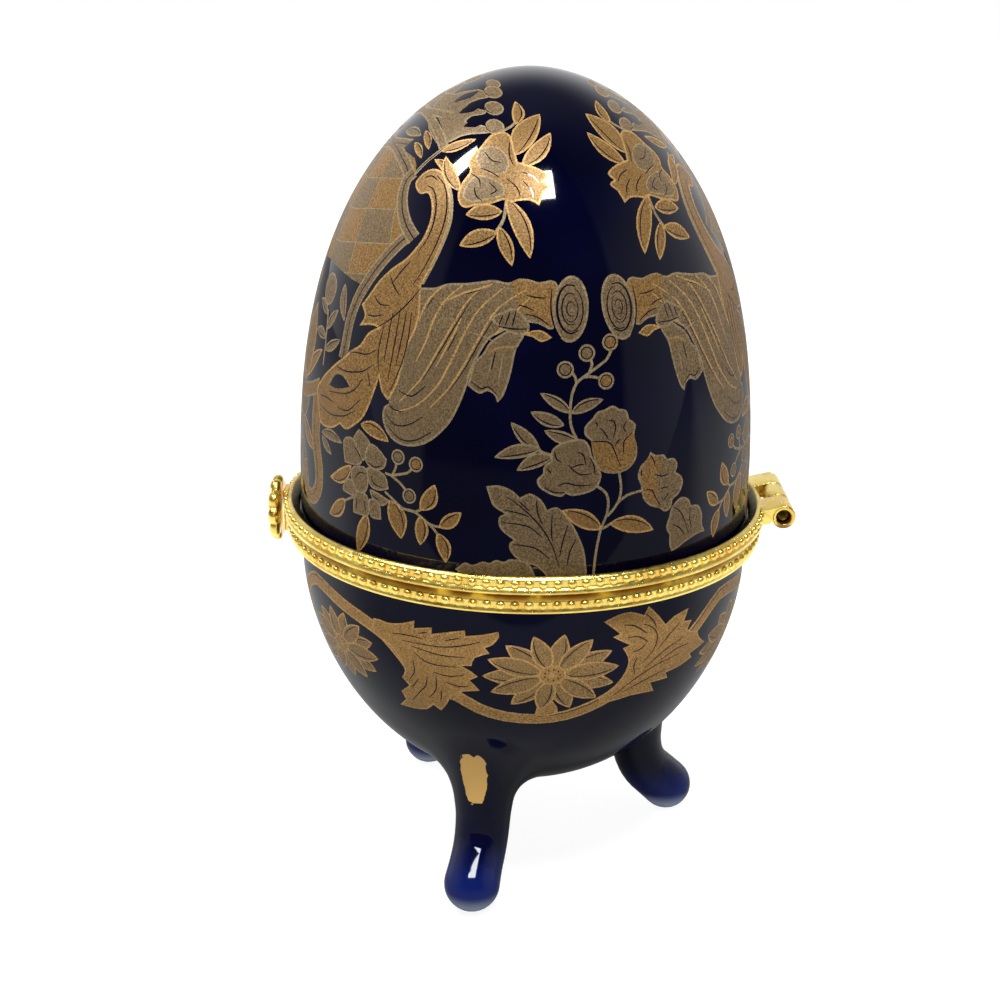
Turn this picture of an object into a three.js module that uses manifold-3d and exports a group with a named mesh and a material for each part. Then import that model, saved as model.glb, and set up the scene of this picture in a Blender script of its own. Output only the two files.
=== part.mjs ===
// A hinged porcelain egg box on three cast legs, with brass rims and a flower clasp.
// Millimetres, +Z up. The origin is on the floor under the egg's axis.
// -Y is the front with the clasp, and +Y is the back with the hinge.
import * as THREE from 'three';
import { mergeVertices } from 'three/addons/utils/BufferGeometryUtils.js';
import Module from 'manifold-3d';

const wasm = await Module();
wasm.setup();

// Porcelain: two superellipse domes, one upright and one hanging.
const WALL = 3;
const LID = { radius: 30.27, height: 57.88, centre: 49.82, round: 1.903, peak: 2.663 };
const BOWL = { radius: 30.23, height: 32.19, centre: 43.77, round: 2.217, peak: 1.74 };
const LID_EDGE = 50.6;
const BOWL_EDGE = 48.9;
const AROUND = 48;
const INSIDE_AROUND = 36;

// Brass rims: the seam lies between SEAM_LOW and SEAM_HIGH.
const FIT = 0.3;
const SEAM_LOW = 49.6;
const SEAM_HIGH = SEAM_LOW + FIT;
const PLATE = 0.4;
const MOUTH = 27.4;
const RIM_AROUND = 60;
const BEAD = 0.45;
const BAND_HALF = 0.4;
const LID_BAND = { radius: 32.25, height: 51.2 };
const BASE_BAND = { radius: 31.85, height: 48.35 };

// Hinge: one barrel across the back, cut into three knuckles around a pin.
const BARREL = { y: 34.45, z: 51.05, radius: 1.6, bore: 1.0, half: 7.2 };
const MIDDLE_HALF = 2.35;
const PIN_RADIUS = BARREL.bore - FIT;
const PIN_HALF = 6.4;
const TURNED = 20;

// Clasp: a ten-petalled flower that stands off the front of the lid rim.
const FLOWER = { radius: 4.5, petals: 10, scallop: 0.5, back: 33.25, depth: 1.5, z: 48.6 };
const FLOWER_BUTTON = { radius: 1.25, rise: 0.65 };
const LUG = { half: 1.7, low: 50.05, high: 51.5, reach: FLOWER.back - FIT };
const CATCH = { half: 1.3, low: 45.6, high: 48.6, reach: 32.85 };
const LUG_ROOT = 31.3;

// Legs, a few degrees off even spacing as they were stuck on by hand.
const LEG_ANGLES = [-15.2, 104, 219];
const LEG_AROUND = 14;
const FOOT = { out: 22.8, up: 3.55, radius: 3.75 };
// Each station up the leg: distance from the egg's axis, height, half depth, half width.
const LEG_STATIONS = [
  [21.1, 5.25, 3.7, 3.6],
  [19.5, 6.9, 3.65, 3.6],
  [18.4, 9.0, 3.65, 3.65],
  [17.8, 12.0, 3.75, 3.85],
  [17.5, 15.0, 4.0, 4.4],
  [17.3, 17.2, 4.6, 5.4],
  [17.2, 19.0, 5.4, 7.0],
  [17.0, 20.8, 6.4, 9.2],
];

const GLAZE = new THREE.Color(0x070a26);
const BRASS = new THREE.Color(0xd8b444);

function glazeMaterial() {
  return new THREE.MeshStandardMaterial({ color: GLAZE, roughness: 0.08, metalness: 0 });
}

function brassMaterial() {
  return new THREE.MeshStandardMaterial({ color: BRASS, roughness: 0.22, metalness: 1 });
}

// ---- solids: closed geometry to a manifold and back ----

function toSolid(geometry) {
  const bare = geometry.clone();
  bare.deleteAttribute('normal');
  bare.deleteAttribute('uv');
  const merged = mergeVertices(bare, 1e-4);
  const corners = merged.index.array;
  const kept = [];
  for (let i = 0; i < corners.length; i += 3) {
    const [a, b, c] = corners.slice(i, i + 3);
    if (a !== b && b !== c && c !== a) kept.push(a, b, c);
  }
  const vertProperties = new Float32Array(merged.attributes.position.array);
  const triVerts = new Uint32Array(kept);
  return new wasm.Manifold(new wasm.Mesh({ numProp: 3, vertProperties, triVerts }));
}

function toGeometry(solid) {
  const mesh = solid.getMesh();
  const geometry = new THREE.BufferGeometry();
  geometry.setAttribute('position', new THREE.BufferAttribute(mesh.vertProperties, 3));
  geometry.setIndex(new THREE.BufferAttribute(mesh.triVerts, 1));
  geometry.computeVertexNormals();
  return geometry;
}

function joined(solids) {
  return solids.reduce((whole, next) => whole.add(next));
}

// A body of revolution about Z from [radius, height] points.
function turned(points, around) {
  const outline = points.map(([radius, height]) => new THREE.Vector2(radius, height));
  return new THREE.LatheGeometry(outline, around).rotateX(Math.PI / 2);
}

// A bar along X, whose outline is drawn in the YZ plane.
function barAlongX(outline, fromX, toX) {
  const shape = new THREE.Shape(outline.map(([y, z]) => new THREE.Vector2(y, z)));
  const geometry = new THREE.ExtrudeGeometry(shape, { depth: toX - fromX, bevelEnabled: false });
  const axes = new THREE.Matrix4().makeBasis(
    new THREE.Vector3(0, 1, 0),
    new THREE.Vector3(0, 0, 1),
    new THREE.Vector3(1, 0, 0),
  );
  return toSolid(geometry.applyMatrix4(axes).translate(fromX, 0, 0));
}

function barrelAlongX(radius, fromX, toX) {
  const geometry = new THREE.CylinderGeometry(radius, radius, toX - fromX, TURNED);
  geometry.rotateZ(Math.PI / 2).translate((fromX + toX) / 2, BARREL.y, BARREL.z);
  return toSolid(geometry);
}

function box(sizeX, sizeY, sizeZ, x, y, z) {
  return toSolid(new THREE.BoxGeometry(sizeX, sizeY, sizeZ).translate(x, y, z));
}

// ---- porcelain ----

// Points of a dome's profile from its equator to its pole; inset makes the inner face.
function domeProfile(dome, side, inset, steps) {
  const points = [];
  for (let i = 0; i <= steps; i += 1) {
    const turn = (i / steps) * (Math.PI / 2);
    const radius = (dome.radius - inset) * Math.cos(turn) ** (2 / dome.round);
    const rise = (dome.height - inset) * Math.sin(turn) ** (2 / dome.peak);
    points.push([i === steps ? 0 : radius, dome.centre + side * rise]);
  }
  return points;
}

// A solid dome, cut flat at the edge's height.
function domeSolid(dome, side, inset, steps, edge, around) {
  const curve = domeProfile(dome, side, inset, steps).filter(([, height]) => (height - edge) * side > 0);
  const profile = [[0, edge], [dome.radius - inset, edge], ...curve];
  return toSolid(turned(side > 0 ? profile : profile.reverse(), around));
}

function lidShell() {
  const outside = domeSolid(LID, 1, 0, 17, LID_EDGE, AROUND);
  return outside.subtract(domeSolid(LID, 1, WALL, 10, LID_EDGE - 1, INSIDE_AROUND));
}

// A ring of points around one station of a leg, tilted square to the leg's path.
function stationRing([out, up, depth, width], tilt) {
  const ring = [];
  for (let i = 0; i < LEG_AROUND; i += 1) {
    const turn = (i / LEG_AROUND) * 2 * Math.PI;
    const along = depth * Math.cos(turn);
    ring.push([out + along * Math.cos(tilt), width * Math.sin(turn), up + along * Math.sin(tilt)]);
  }
  return ring;
}

// The rounded end of the foot: rings that shrink along the leg's own direction.
function footRings(tilt, steps) {
  const rings = [];
  for (let i = 1; i <= steps; i += 1) {
    const turn = (i / steps) * (Math.PI / 2);
    const shrink = FOOT.radius * Math.sin(turn);
    const ahead = FOOT.radius * Math.cos(turn);
    const out = FOOT.out + ahead * Math.sin(tilt);
    const up = FOOT.up - ahead * Math.cos(tilt);
    rings.push(stationRing([out, up, shrink, shrink], tilt));
  }
  return rings;
}

function legSolid(angle) {
  const path = [[FOOT.out, FOOT.up], ...LEG_STATIONS];
  const tilts = LEG_STATIONS.map(([out, up], i) => Math.atan2(path[i][0] - out, up - path[i][1]));
  const tip = [FOOT.out + FOOT.radius * Math.sin(tilts[0]), 0, FOOT.up - FOOT.radius * Math.cos(tilts[0])];
  const rings = [
    ...footRings(tilts[0], 4),
    ...LEG_STATIONS.map((station, i) => stationRing(station, tilts[i])),
  ];
  const top = LEG_STATIONS.at(-1);
  const positions = [tip, ...rings.flat(), [top[0], 0, top[1]]].flat();
  const faces = [];
  const last = positions.length / 3 - 1;
  for (let i = 0; i < LEG_AROUND; i += 1) {
    const next = (i + 1) % LEG_AROUND;
    faces.push(0, 1 + next, 1 + i);
    faces.push(last, last - LEG_AROUND + i, last - LEG_AROUND + next);
    for (let level = 0; level < rings.length - 1; level += 1) {
      const low = 1 + level * LEG_AROUND;
      const high = low + LEG_AROUND;
      faces.push(low + i, low + next, high + next, low + i, high + next, high + i);
    }
  }
  const geometry = new THREE.BufferGeometry();
  geometry.setAttribute('position', new THREE.Float32BufferAttribute(positions, 3));
  geometry.setIndex(faces);
  return toSolid(geometry.rotateZ(THREE.MathUtils.degToRad(angle)));
}

function bowlWithLegs() {
  const outside = joined([domeSolid(BOWL, -1, 0, 14, BOWL_EDGE, AROUND), ...LEG_ANGLES.map(legSolid)]);
  const inside = domeSolid(BOWL, -1, WALL, 9, BOWL_EDGE + 1, INSIDE_AROUND);
  const floor = box(100, 100, 10, 0, 0, -5);
  return outside.subtract(inside).subtract(floor);
}

// ---- brass ----

// A ring turned from a closed section. The face that leaves the section's point
// number band carries two beads on each facet, except where a lug or strap covers it.
function beadedRing(section, band, isClear) {
  const count = section.length;
  const positions = [];
  const faces = [];
  const addPoint = (radius, height, turn) => {
    positions.push(radius * Math.cos(turn), radius * Math.sin(turn), height);
    return positions.length / 3 - 1;
  };
  const facet = (2 * Math.PI) / RIM_AROUND;
  for (let i = 0; i < RIM_AROUND; i += 1) {
    section.forEach(([radius, height]) => addPoint(radius, height, i * facet));
  }
  for (let i = 0; i < RIM_AROUND; i += 1) {
    const turn = (i + 0.5) * facet;
    for (let j = 0; j < count; j += 1) {
      const here = i * count;
      const next = ((i + 1) % RIM_AROUND) * count;
      const above = (j + 1) % count;
      const corners = [here + j, next + j, next + above, here + above];
      const [radius, low] = section[j];
      const middle = (low + section[above][1]) / 2;
      if (j === band && isClear(radius * Math.cos(turn), radius * Math.sin(turn))) {
        const left = addPoint(radius + BEAD, middle, turn - facet / 4);
        const valley = addPoint(radius * Math.cos(facet / 2), middle, turn);
        const right = addPoint(radius + BEAD, middle, turn + facet / 4);
        faces.push(...beadPair(corners, left, valley, right));
      } else {
        const [a, b, c, d] = corners;
        faces.push(a, b, c, a, c, d);
      }
    }
  }
  const geometry = new THREE.BufferGeometry();
  geometry.setAttribute('position', new THREE.Float32BufferAttribute(positions, 3));
  geometry.setIndex(faces);
  return toSolid(geometry);
}

// Two beads side by side on the face a, b, c, d, with a valley between them.
function beadPair([a, b, c, d], left, valley, right) {
  return [
    a, left, d, a, valley, left, left, valley, d,
    a, b, valley, c, d, valley,
    b, right, valley, right, c, valley, b, c, right,
  ];
}

// Two straps run from the lid rim to the barrel's outer knuckles.
function lidKnuckle(side) {
  const strap = [
    [30.9, 50.45], [32.6, 50.45], [33.6, 50.2], [BARREL.y, BARREL.z], [34.2, 52.5], [33.0, 52.3], [31.4, 51.9],
  ];
  const near = MIDDLE_HALF + FIT;
  const [from, to] = side > 0 ? [near, BARREL.half] : [-BARREL.half, -near];
  return barAlongX(strap, from, to).add(barrelAlongX(BARREL.radius, from, to));
}

// A block under the front of a rim, centred on X.
function frontBlock({ half, low, high, reach }) {
  return box(2 * half, reach - LUG_ROOT, high - low, 0, -(reach + LUG_ROOT) / 2, (high + low) / 2);
}

function lidRim() {
  const { radius, height } = LID_BAND;
  const ledge = SEAM_HIGH + PLATE;
  const wall = LID.radius + FIT;
  const section = [
    [radius, height - BAND_HALF], [radius, height + BAND_HALF], [31.9, 51.95], [31.65, 52.01],
    [wall, 51.2], [wall, ledge], [MOUTH, ledge], [MOUTH, SEAM_HIGH], [32.55, SEAM_HIGH], [32.65, 50.05],
  ];
  const isClear = (x, y) => Math.abs(x) > (y > 0 ? BARREL.half : LUG.half);
  const bore = barrelAlongX(BARREL.bore, -BARREL.half - 1, BARREL.half + 1);
  const ring = beadedRing(section, 0, isClear);
  return joined([ring, frontBlock(LUG), lidKnuckle(1), lidKnuckle(-1)]).subtract(bore);
}

function baseRim() {
  const { radius, height } = BASE_BAND;
  const ledge = SEAM_LOW - PLATE;
  const wall = BOWL.radius + FIT;
  const section = [
    [radius, height - BAND_HALF], [radius, height + BAND_HALF], [31.2, SEAM_LOW], [MOUTH, SEAM_LOW],
    [MOUTH, ledge], [wall, ledge], [wall, 47.28], [32.0, 47.28],
  ];
  const strap = [
    [31.0, 47.9], [33.4, 48.2], [35.2, 49.5], [BARREL.y, BARREL.z], [33.4, 50.3], [32.9, 49.5], [31.0, 49.4],
  ];
  const isClear = (x, y) => Math.abs(x) > (y > 0 ? MIDDLE_HALF : CATCH.half);
  const knuckle = barrelAlongX(BARREL.radius, -MIDDLE_HALF, MIDDLE_HALF);
  const arm = barAlongX(strap, -MIDDLE_HALF, MIDDLE_HALF);
  const bore = barrelAlongX(BARREL.bore, -BARREL.half, BARREL.half);
  return joined([beadedRing(section, 0, isClear), frontBlock(CATCH), arm, knuckle]).subtract(bore);
}

// The flower as a grid of rings from its back centre, over its petals, to its button.
function claspFlower() {
  const around = FLOWER.petals * 3;
  const { radius, scallop, depth } = FLOWER;
  const dip = (turn) => scallop * (1 - Math.abs(Math.cos((turn * FLOWER.petals) / 2)));
  const front = depth * 0.85;
  const rings = [
    (turn) => [radius - 0.35 - dip(turn), 0],
    (turn) => [radius - dip(turn), 0.45],
    (turn) => [radius - 0.1 - dip(turn), 1.05],
    (turn) => [radius * 0.72 - dip(turn) * 0.5, front + 0.15 - dip(turn) * 0.5],
    () => [radius * 0.36, front - 0.2],
    () => [FLOWER_BUTTON.radius, front],
    () => [FLOWER_BUTTON.radius * 0.7, front + FLOWER_BUTTON.rise * 0.8],
  ];
  const positions = [0, 0, 0];
  for (const ring of rings) {
    for (let i = 0; i < around; i += 1) {
      const turn = (i / around) * 2 * Math.PI;
      const [reach, rise] = ring(turn);
      positions.push(reach * Math.cos(turn), reach * Math.sin(turn), rise);
    }
  }
  positions.push(0, 0, front + FLOWER_BUTTON.rise);
  const faces = [];
  const last = positions.length / 3 - 1;
  for (let i = 0; i < around; i += 1) {
    const next = (i + 1) % around;
    faces.push(0, 1 + next, 1 + i);
    faces.push(last, last - around + i, last - around + next);
    for (let level = 0; level < rings.length - 1; level += 1) {
      const low = 1 + level * around;
      const high = low + around;
      faces.push(low + i, low + next, high + next, low + i, high + next, high + i);
    }
  }
  const geometry = new THREE.BufferGeometry();
  geometry.setAttribute('position', new THREE.Float32BufferAttribute(positions, 3));
  geometry.setIndex(faces);
  return toSolid(geometry.rotateX(Math.PI / 2));
}

// ---- the box ----

function piece(name, solid, material) {
  const mesh = new THREE.Mesh(toGeometry(solid), material);
  mesh.name = name;
  return mesh;
}

function basePieces() {
  const base = new THREE.Group();
  base.add(piece('base_bowl', bowlWithLegs(), glazeMaterial()));
  base.add(piece('base_rim', baseRim(), brassMaterial()));
  base.add(piece('hinge_pin', barrelAlongX(PIN_RADIUS, -PIN_HALF, PIN_HALF), brassMaterial()));
  return base;
}

function lidPieces() {
  const lid = new THREE.Group();
  lid.add(piece('lid_shell', lidShell(), glazeMaterial()));
  lid.add(piece('lid_rim', lidRim(), brassMaterial()));
  const flower = piece('clasp_flower', claspFlower(), brassMaterial());
  flower.position.set(0, -FLOWER.back, FLOWER.z);
  lid.add(flower);
  return lid;
}

const eggBox = new THREE.Group();
eggBox.add(basePieces(), lidPieces());

export default eggBox;
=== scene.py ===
"""A cobalt porcelain egg box on three legs, with gold print, beaded brass rims, a hinge and a clasp."""

import bisect
import math

import bmesh
import bpy
from bpy.props import FloatProperty, FloatVectorProperty, IntProperty, PointerProperty
from mathutils import Matrix, Vector
from mathutils.geometry import delaunay_2d_cdt


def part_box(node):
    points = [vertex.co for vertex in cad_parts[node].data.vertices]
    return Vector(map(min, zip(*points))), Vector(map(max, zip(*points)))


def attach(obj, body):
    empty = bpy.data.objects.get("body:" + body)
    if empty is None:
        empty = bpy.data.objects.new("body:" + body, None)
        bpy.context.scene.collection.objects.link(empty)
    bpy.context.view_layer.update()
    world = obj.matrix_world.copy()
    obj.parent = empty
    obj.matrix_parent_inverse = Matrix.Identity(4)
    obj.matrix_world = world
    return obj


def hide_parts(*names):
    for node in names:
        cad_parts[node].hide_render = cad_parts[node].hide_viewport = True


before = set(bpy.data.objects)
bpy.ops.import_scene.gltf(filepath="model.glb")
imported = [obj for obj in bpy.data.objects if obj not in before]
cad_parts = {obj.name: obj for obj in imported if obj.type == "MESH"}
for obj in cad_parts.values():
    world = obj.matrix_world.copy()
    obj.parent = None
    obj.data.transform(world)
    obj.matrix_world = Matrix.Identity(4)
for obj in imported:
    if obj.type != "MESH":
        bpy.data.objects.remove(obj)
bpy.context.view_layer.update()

bl_info = {
    "name": "Egg trinket box",
    "version": (1, 0, 0),
    "blender": (4, 5, 0),
    "location": "View3D > Sidebar > Egg Box",
    "description": "Builds a porcelain egg box with printed gold, beaded rims, a hinge and a clasp",
    "category": "Add Mesh",
}

MM = 0.001


def box_mm(node):
    low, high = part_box(node)
    return Vector(low) / MM, Vector(high) / MM


LID_LOW, LID_HIGH = box_mm("lid_shell")
_, BOWL_HIGH = box_mm("base_bowl")
FLOWER_LOW, FLOWER_HIGH = box_mm("clasp_flower")
PIN_LOW, PIN_HIGH = box_mm("hinge_pin")

# The egg, in mm: an upright dome for the lid and a hanging one for the bowl.
LID_RISE = 57.88
LID_DOME = dict(
    radius=LID_HIGH.x, height=LID_RISE, centre=LID_HIGH.z - LID_RISE, round=1.903, peak=2.663, side=1
)
BOWL_DOME = dict(radius=30.23, height=32.19, centre=43.77, round=2.217, peak=1.74, side=-1)
LID_EDGE = LID_LOW.z
BOWL_EDGE = BOWL_HIGH.z
WALL = 3.0
INNER_RINGS = 40

# Legs, in mm: the angle of each, its foot, the stations up it as out, up, half depth and half width,
# and the outline where it grows out of the bowl.
LEG_ANGLES = (-15.2, 104.0, 219.0)
FOOT = dict(out=22.8, up=3.55, radius=3.75)
LEG_STATIONS = (
    (21.1, 5.25, 3.7, 3.6),
    (19.5, 6.9, 3.65, 3.6),
    (18.4, 9.0, 3.65, 3.65),
    (17.85, 11.5, 3.7, 3.75),
    (17.7, 13.5, 3.85, 4.0),
)
LEG_ROOT = dict(along=-27.0, half_height=9.6, half_width=9.4)
# How softly the sole bends where it is pressed flat on the floor.
SOLE_BEND = 0.004


# ---------------------------------------------------------------- settings


def colour_setting(name, description, default):
    return FloatVectorProperty(name=name, description=description, default=default, subtype="COLOR")


class EggPorcelainSettings(bpy.types.PropertyGroup):
    """The porcelain's mesh, and the colours of its glaze and print."""

    glaze: colour_setting("Cobalt glaze", "Deep glaze colour", (0.0006, 0.0008, 0.0095))
    # The thin glaze colour also paints a blue sheen, painted light, in a band under the rim.
    thin_glaze_and_sheen: colour_setting("Thin glaze", "Glaze where it runs thin", (0.003, 0.009, 0.088))
    warm_print: colour_setting("Warm gold print", "Leaves and scrolls on the lid", (0.285, 0.155, 0.048))
    grey_print: colour_setting("Grey gold print", "Roses and drapery", (0.215, 0.142, 0.070))
    line_print: colour_setting("Outline print", "Fine outlines of the grey gold", (0.40, 0.29, 0.155))
    bright_print: colour_setting("Bright gold print", "Fine outlines of the warm gold", (0.60, 0.35, 0.12))
    petal_print: colour_setting("Petal print", "Daisies on the bowl", (0.29, 0.175, 0.066))
    scroll_print: colour_setting("Scroll print", "Leaf scrolls on the bowl", (0.385, 0.215, 0.068))
    mesh_step: FloatProperty(
        name="Mesh step", description="Spacing of the porcelain's mesh", default=1.1 * MM, unit="LENGTH"
    )


class EggBrassSettings(bpy.types.PropertyGroup):
    """The colour of the brass, and the beads of its rims."""

    brass: colour_setting("Polished brass", "Rims, hinge and clasp", (0.95, 0.74, 0.20))
    beads: IntProperty(name="Beads", description="Beads in each row", default=120, min=24, max=240)
    bead_radius: FloatProperty(
        name="Bead radius", description="Radius of a bead", default=0.53 * MM, unit="LENGTH"
    )


class EggStudioSettings(bpy.types.PropertyGroup):
    """Camera and light."""

    lens: FloatProperty(name="Lens", description="Focal length", default=53.765, unit="CAMERA")
    backdrop: colour_setting("Backdrop", "Colour behind the box", (1.0, 1.0, 1.0))


# ---------------------------------------------------------------- the porcelain's curves


def between(a, b, share):
    return a + (b - a) * share


def eased(a, b, c, d, t):
    """A smooth curve from b to c, led by the points before and after them."""
    return 0.5 * (2 * b + (c - a) * t + (2 * a - 5 * b + 4 * c - d) * t * t + (3 * b - a - 3 * c + d) * t**3)


class DomeCurve:
    """A dome's outer curve from its edge to its pole, as length, radius, height and flattening."""

    STEPS = 1500
    SPAN = 30.0

    def __init__(self, dome, edge, inset=0.0):
        self.side = dome["side"]
        radius, height = dome["radius"] - inset, dome["height"] - inset
        points = []
        for i in range(self.STEPS + 1):
            turn = (i / self.STEPS) * math.pi / 2
            reach = radius * math.cos(turn) ** (2 / dome["round"]) if i < self.STEPS else 0.0
            rise = height * math.sin(turn) ** (2 / dome["peak"])
            points.append((reach, dome["centre"] + self.side * rise))
        lengths = [0.0]
        for (r0, z0), (r1, z1) in zip(points, points[1:]):
            lengths.append(lengths[-1] + math.hypot(r1 - r0, z1 - z0))
        rows = [(s, r, z) for s, (r, z) in zip(lengths, points)]
        gap = (dome["centre"] - edge) * self.side
        if gap > 0:
            rows.insert(0, (-gap, radius, edge))
        else:
            rows = [row for row in rows if (row[2] - edge) * self.side > 1e-6]
            first = rows[0]
            rows.insert(0, (first[0] - abs(first[2] - edge), first[1], edge))
        self.length = [row[0] for row in rows]
        self.radius = [row[1] for row in rows]
        self.height = [row[2] for row in rows]
        self.stretch = [0.0]
        for a, b in zip(rows, rows[1:]):
            middle = max((a[1] + b[1]) / 2, 1e-3)
            self.stretch.append(self.stretch[-1] + (b[0] - a[0]) / middle)

    def look_up(self, table, key, value):
        i = min(max(bisect.bisect_right(key, value) - 1, 0), len(key) - 2)
        share = (value - key[i]) / (key[i + 1] - key[i])
        return [between(t[i], t[i + 1], share) for t in table]

    def at(self, along):
        """Radius and height at a length above the widest ring (below it, for the bowl)."""
        return self.look_up((self.radius, self.height), self.length, along * self.side)

    def flat(self, turn, along):
        """A place on the dome as a point of the flattened disc."""
        (stretch,) = self.look_up((self.stretch,), self.length, along * self.side)
        reach = self.SPAN * math.exp(-stretch)
        return Vector((reach * math.cos(turn), reach * math.sin(turn)))

    def lift(self, point):
        """A point of the disc back on the dome, with the outward normal there."""
        reach = point.length
        if reach < 1e-4:
            return Vector((0, 0, self.height[-1])), Vector((0, 0, self.side))
        stretch = math.log(self.SPAN / reach)
        radius, height = self.look_up((self.radius, self.height), self.stretch, stretch)
        turn = math.atan2(point.y, point.x)
        return self.on_ring(turn, radius, height), self.normal(turn, stretch)

    @staticmethod
    def on_ring(turn, radius, height):
        return Vector((radius * math.cos(turn), radius * math.sin(turn), height))

    def normal(self, turn, stretch):
        i = min(max(bisect.bisect_right(self.stretch, stretch) - 1, 0), len(self.stretch) - 2)
        low, high = max(i - 3, 0), min(i + 4, len(self.stretch) - 1)
        run = self.radius[high] - self.radius[low]
        rise = self.height[high] - self.height[low]
        out = Vector((abs(rise), -run * self.side)).normalized()
        return Vector((out.x * math.cos(turn), out.x * math.sin(turn), out.y))


# ---------------------------------------------------------------- laying print on the porcelain

# The inks, by the numbers of the porcelain's materials, and the mark of a hole in the skin.
GLAZE, LINE, WARM, GREY, BRIGHT = range(5)
HOLE = -1


class Chart:
    """A drawing sheet laid on a dome: x runs round it and y along it, in mm, about one meridian."""

    def __init__(self, curve, centre, sheet):
        self.curve, self.centre, self.sheet = curve, math.radians(centre), sheet
        self.copies = ((1, 0.0),)

    def repeat(self, *copies):
        self.copies = copies
        return self

    def area(self, points, ink, within=None):
        """Lays a closed outline down in an ink, over what is there, or only within another area.

        Gives the numbers of what was laid, one for each copy."""
        places = []
        for x, y in points:
            radius, _ = self.curve.at(y)
            places.append((self.centre + x / max(radius, 0.5), y))
        laid = []
        for k, (sign, shift) in enumerate(self.copies):
            flat = [self.curve.flat(sign * turn + shift, y) for turn, y in places]
            laid.append(len(self.sheet))
            self.sheet.append((ink, wound(flat), within[k] if within else None))
        return laid


def signed_area(points):
    return sum(a.x * b.y - a.y * b.x for a, b in zip(points, points[1:] + points[:1])) / 2


def wound(points):
    """The outline with its inside on the left, ending at an outermost corner, even if it crosses itself."""
    if signed_area(points) < 0:
        points = points[::-1]
    for way in ((1, 0), (-1, 0), (0, 1), (0, -1)):
        last = max(range(len(points)), key=lambda i: points[i].dot(Vector(way)))
        to = points[last] - points[last - 1]
        on = points[(last + 1) % len(points)] - points[last]
        if to.x * on.y - to.y * on.x > 0:
            return points[last + 1:] + points[:last + 1]
    return points


def printed_skin(curve, sheet, step, around, holes=()):
    """Triangles of a dome's outer face with the print's outlines cut into it.

    Gives vertices, normals, faces and the ink of each face, with the edge ring first."""
    rim = [curve.flat(math.tau * i / around, curve.length[0] * curve.side) for i in range(around)]
    edges = [(i, (i + 1) % around) for i in range(around)]
    points, faces, inks, masks = list(rim), [], [], []
    busy = set()
    cell = step * 0.55

    def cell_of(flat_point):
        place, _ = curve.lift(flat_point)
        return tuple(round(c / cell) for c in place)

    shift = len(holes)
    for ink, outline, mask in [(HOLE, hole, None) for hole in holes] + sheet:
        start = len(points)
        points += outline
        faces.append(list(range(start, len(points))))
        inks.append(ink)
        masks.append(None if mask is None else mask + shift)
        for point in outline:
            busy.add(cell_of(point))
    total = curve.length[-1]
    rings = max(int((total - curve.length[0]) / step), 4)
    for k in range(1, rings):
        along = between(curve.length[0], total, k / rings) * curve.side
        radius, _ = curve.at(along)
        count = max(round(math.tau * radius / step), 6)
        for i in range(count):
            point = curve.flat(math.tau * (i + 0.5 * (k % 2)) / count, along)
            if cell_of(point) not in busy:
                points.append(point)
    points.append(Vector((0, 0)))
    out_points, _, out_faces, from_points, _, from_faces = delaunay_2d_cdt(points, edges, faces, 0, 1e-6)
    keep, ink_of = [], []
    for face, sources in zip(out_faces, from_faces):
        if any(inks[s] == HOLE for s in sources):
            continue
        seen = [s for s in sources if masks[s] is None or masks[s] in sources]
        keep.append(face)
        ink_of.append(inks[max(seen)] if seen else GLAZE)
    lifted = [curve.lift(p) for p in out_points]
    index = {}
    for i, origins in enumerate(from_points):
        for origin in origins:
            index[origin] = i
    rim_index = [index[i] for i in range(around)]
    hole_index, start = [], around
    for hole in holes:
        hole_index.append([index[start + i] for i in range(len(hole))])
        start += len(hole)
    return [p for p, _ in lifted], [n for _, n in lifted], keep, ink_of, rim_index, hole_index


# What a point that lies on no leg is given in place of its distances round and up a leg.
FAR_FROM_KNEE = (30.0, 30.0, 0.0)


def new_piece(name, places, edges, faces):
    """An object in the scene, with a mesh of the same name; places are in metres."""
    mesh = bpy.data.meshes.new(name)
    mesh.from_pydata(places, edges, faces)
    piece = bpy.data.objects.new(name, mesh)
    bpy.context.scene.collection.objects.link(piece)
    return piece


class Clay:
    """Vertices, normals, faces and inks of a porcelain half while it is being put together."""

    def __init__(self):
        self.points, self.normals, self.faces, self.inks, self.knee = [], [], [], [], {}

    def add(self, point, normal=None):
        self.points.append(point)
        self.normals.append(normal or Vector((0, 0, 0)))
        return len(self.points) - 1

    def face(self, corners, ink=GLAZE):
        self.faces.append(list(corners))
        self.inks.append(ink)

    def bridge(self, low, high, ink=GLAZE):
        """Faces between two closed rings of the same count."""
        for i in range(len(low)):
            j = (i + 1) % len(low)
            self.face((low[i], low[j], high[j], high[i]), ink)

    def ring(self, curve, length, around, outward):
        """A level ring on a dome's curve; its normals point outward (1) or inward (-1)."""
        tables = (curve.radius, curve.height, curve.stretch)
        radius, height, stretch = curve.look_up(tables, curve.length, length)
        ring = []
        for i in range(around):
            turn = math.tau * i / around
            normal = curve.normal(turn, stretch) * outward
            ring.append(self.add(curve.on_ring(turn, radius, height), normal))
        return ring

    def object(self, name, materials):
        piece = new_piece(name, [p * MM for p in self.points], [], self.faces)
        mesh = piece.data
        for material in materials:
            mesh.materials.append(material)
        mesh.polygons.foreach_set("material_index", self.inks)
        mesh.polygons.foreach_set("use_smooth", [True] * len(self.faces))
        knee = mesh.attributes.new("knee", "FLOAT_VECTOR", "POINT")
        flat = [c for i in range(len(self.points)) for c in self.knee.get(i, FAR_FROM_KNEE)]
        knee.data.foreach_set("vector", flat)
        mesh.validate()
        mesh.normals_split_custom_set_from_vertices([n[:] for n in self.normals])
        return piece


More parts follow.
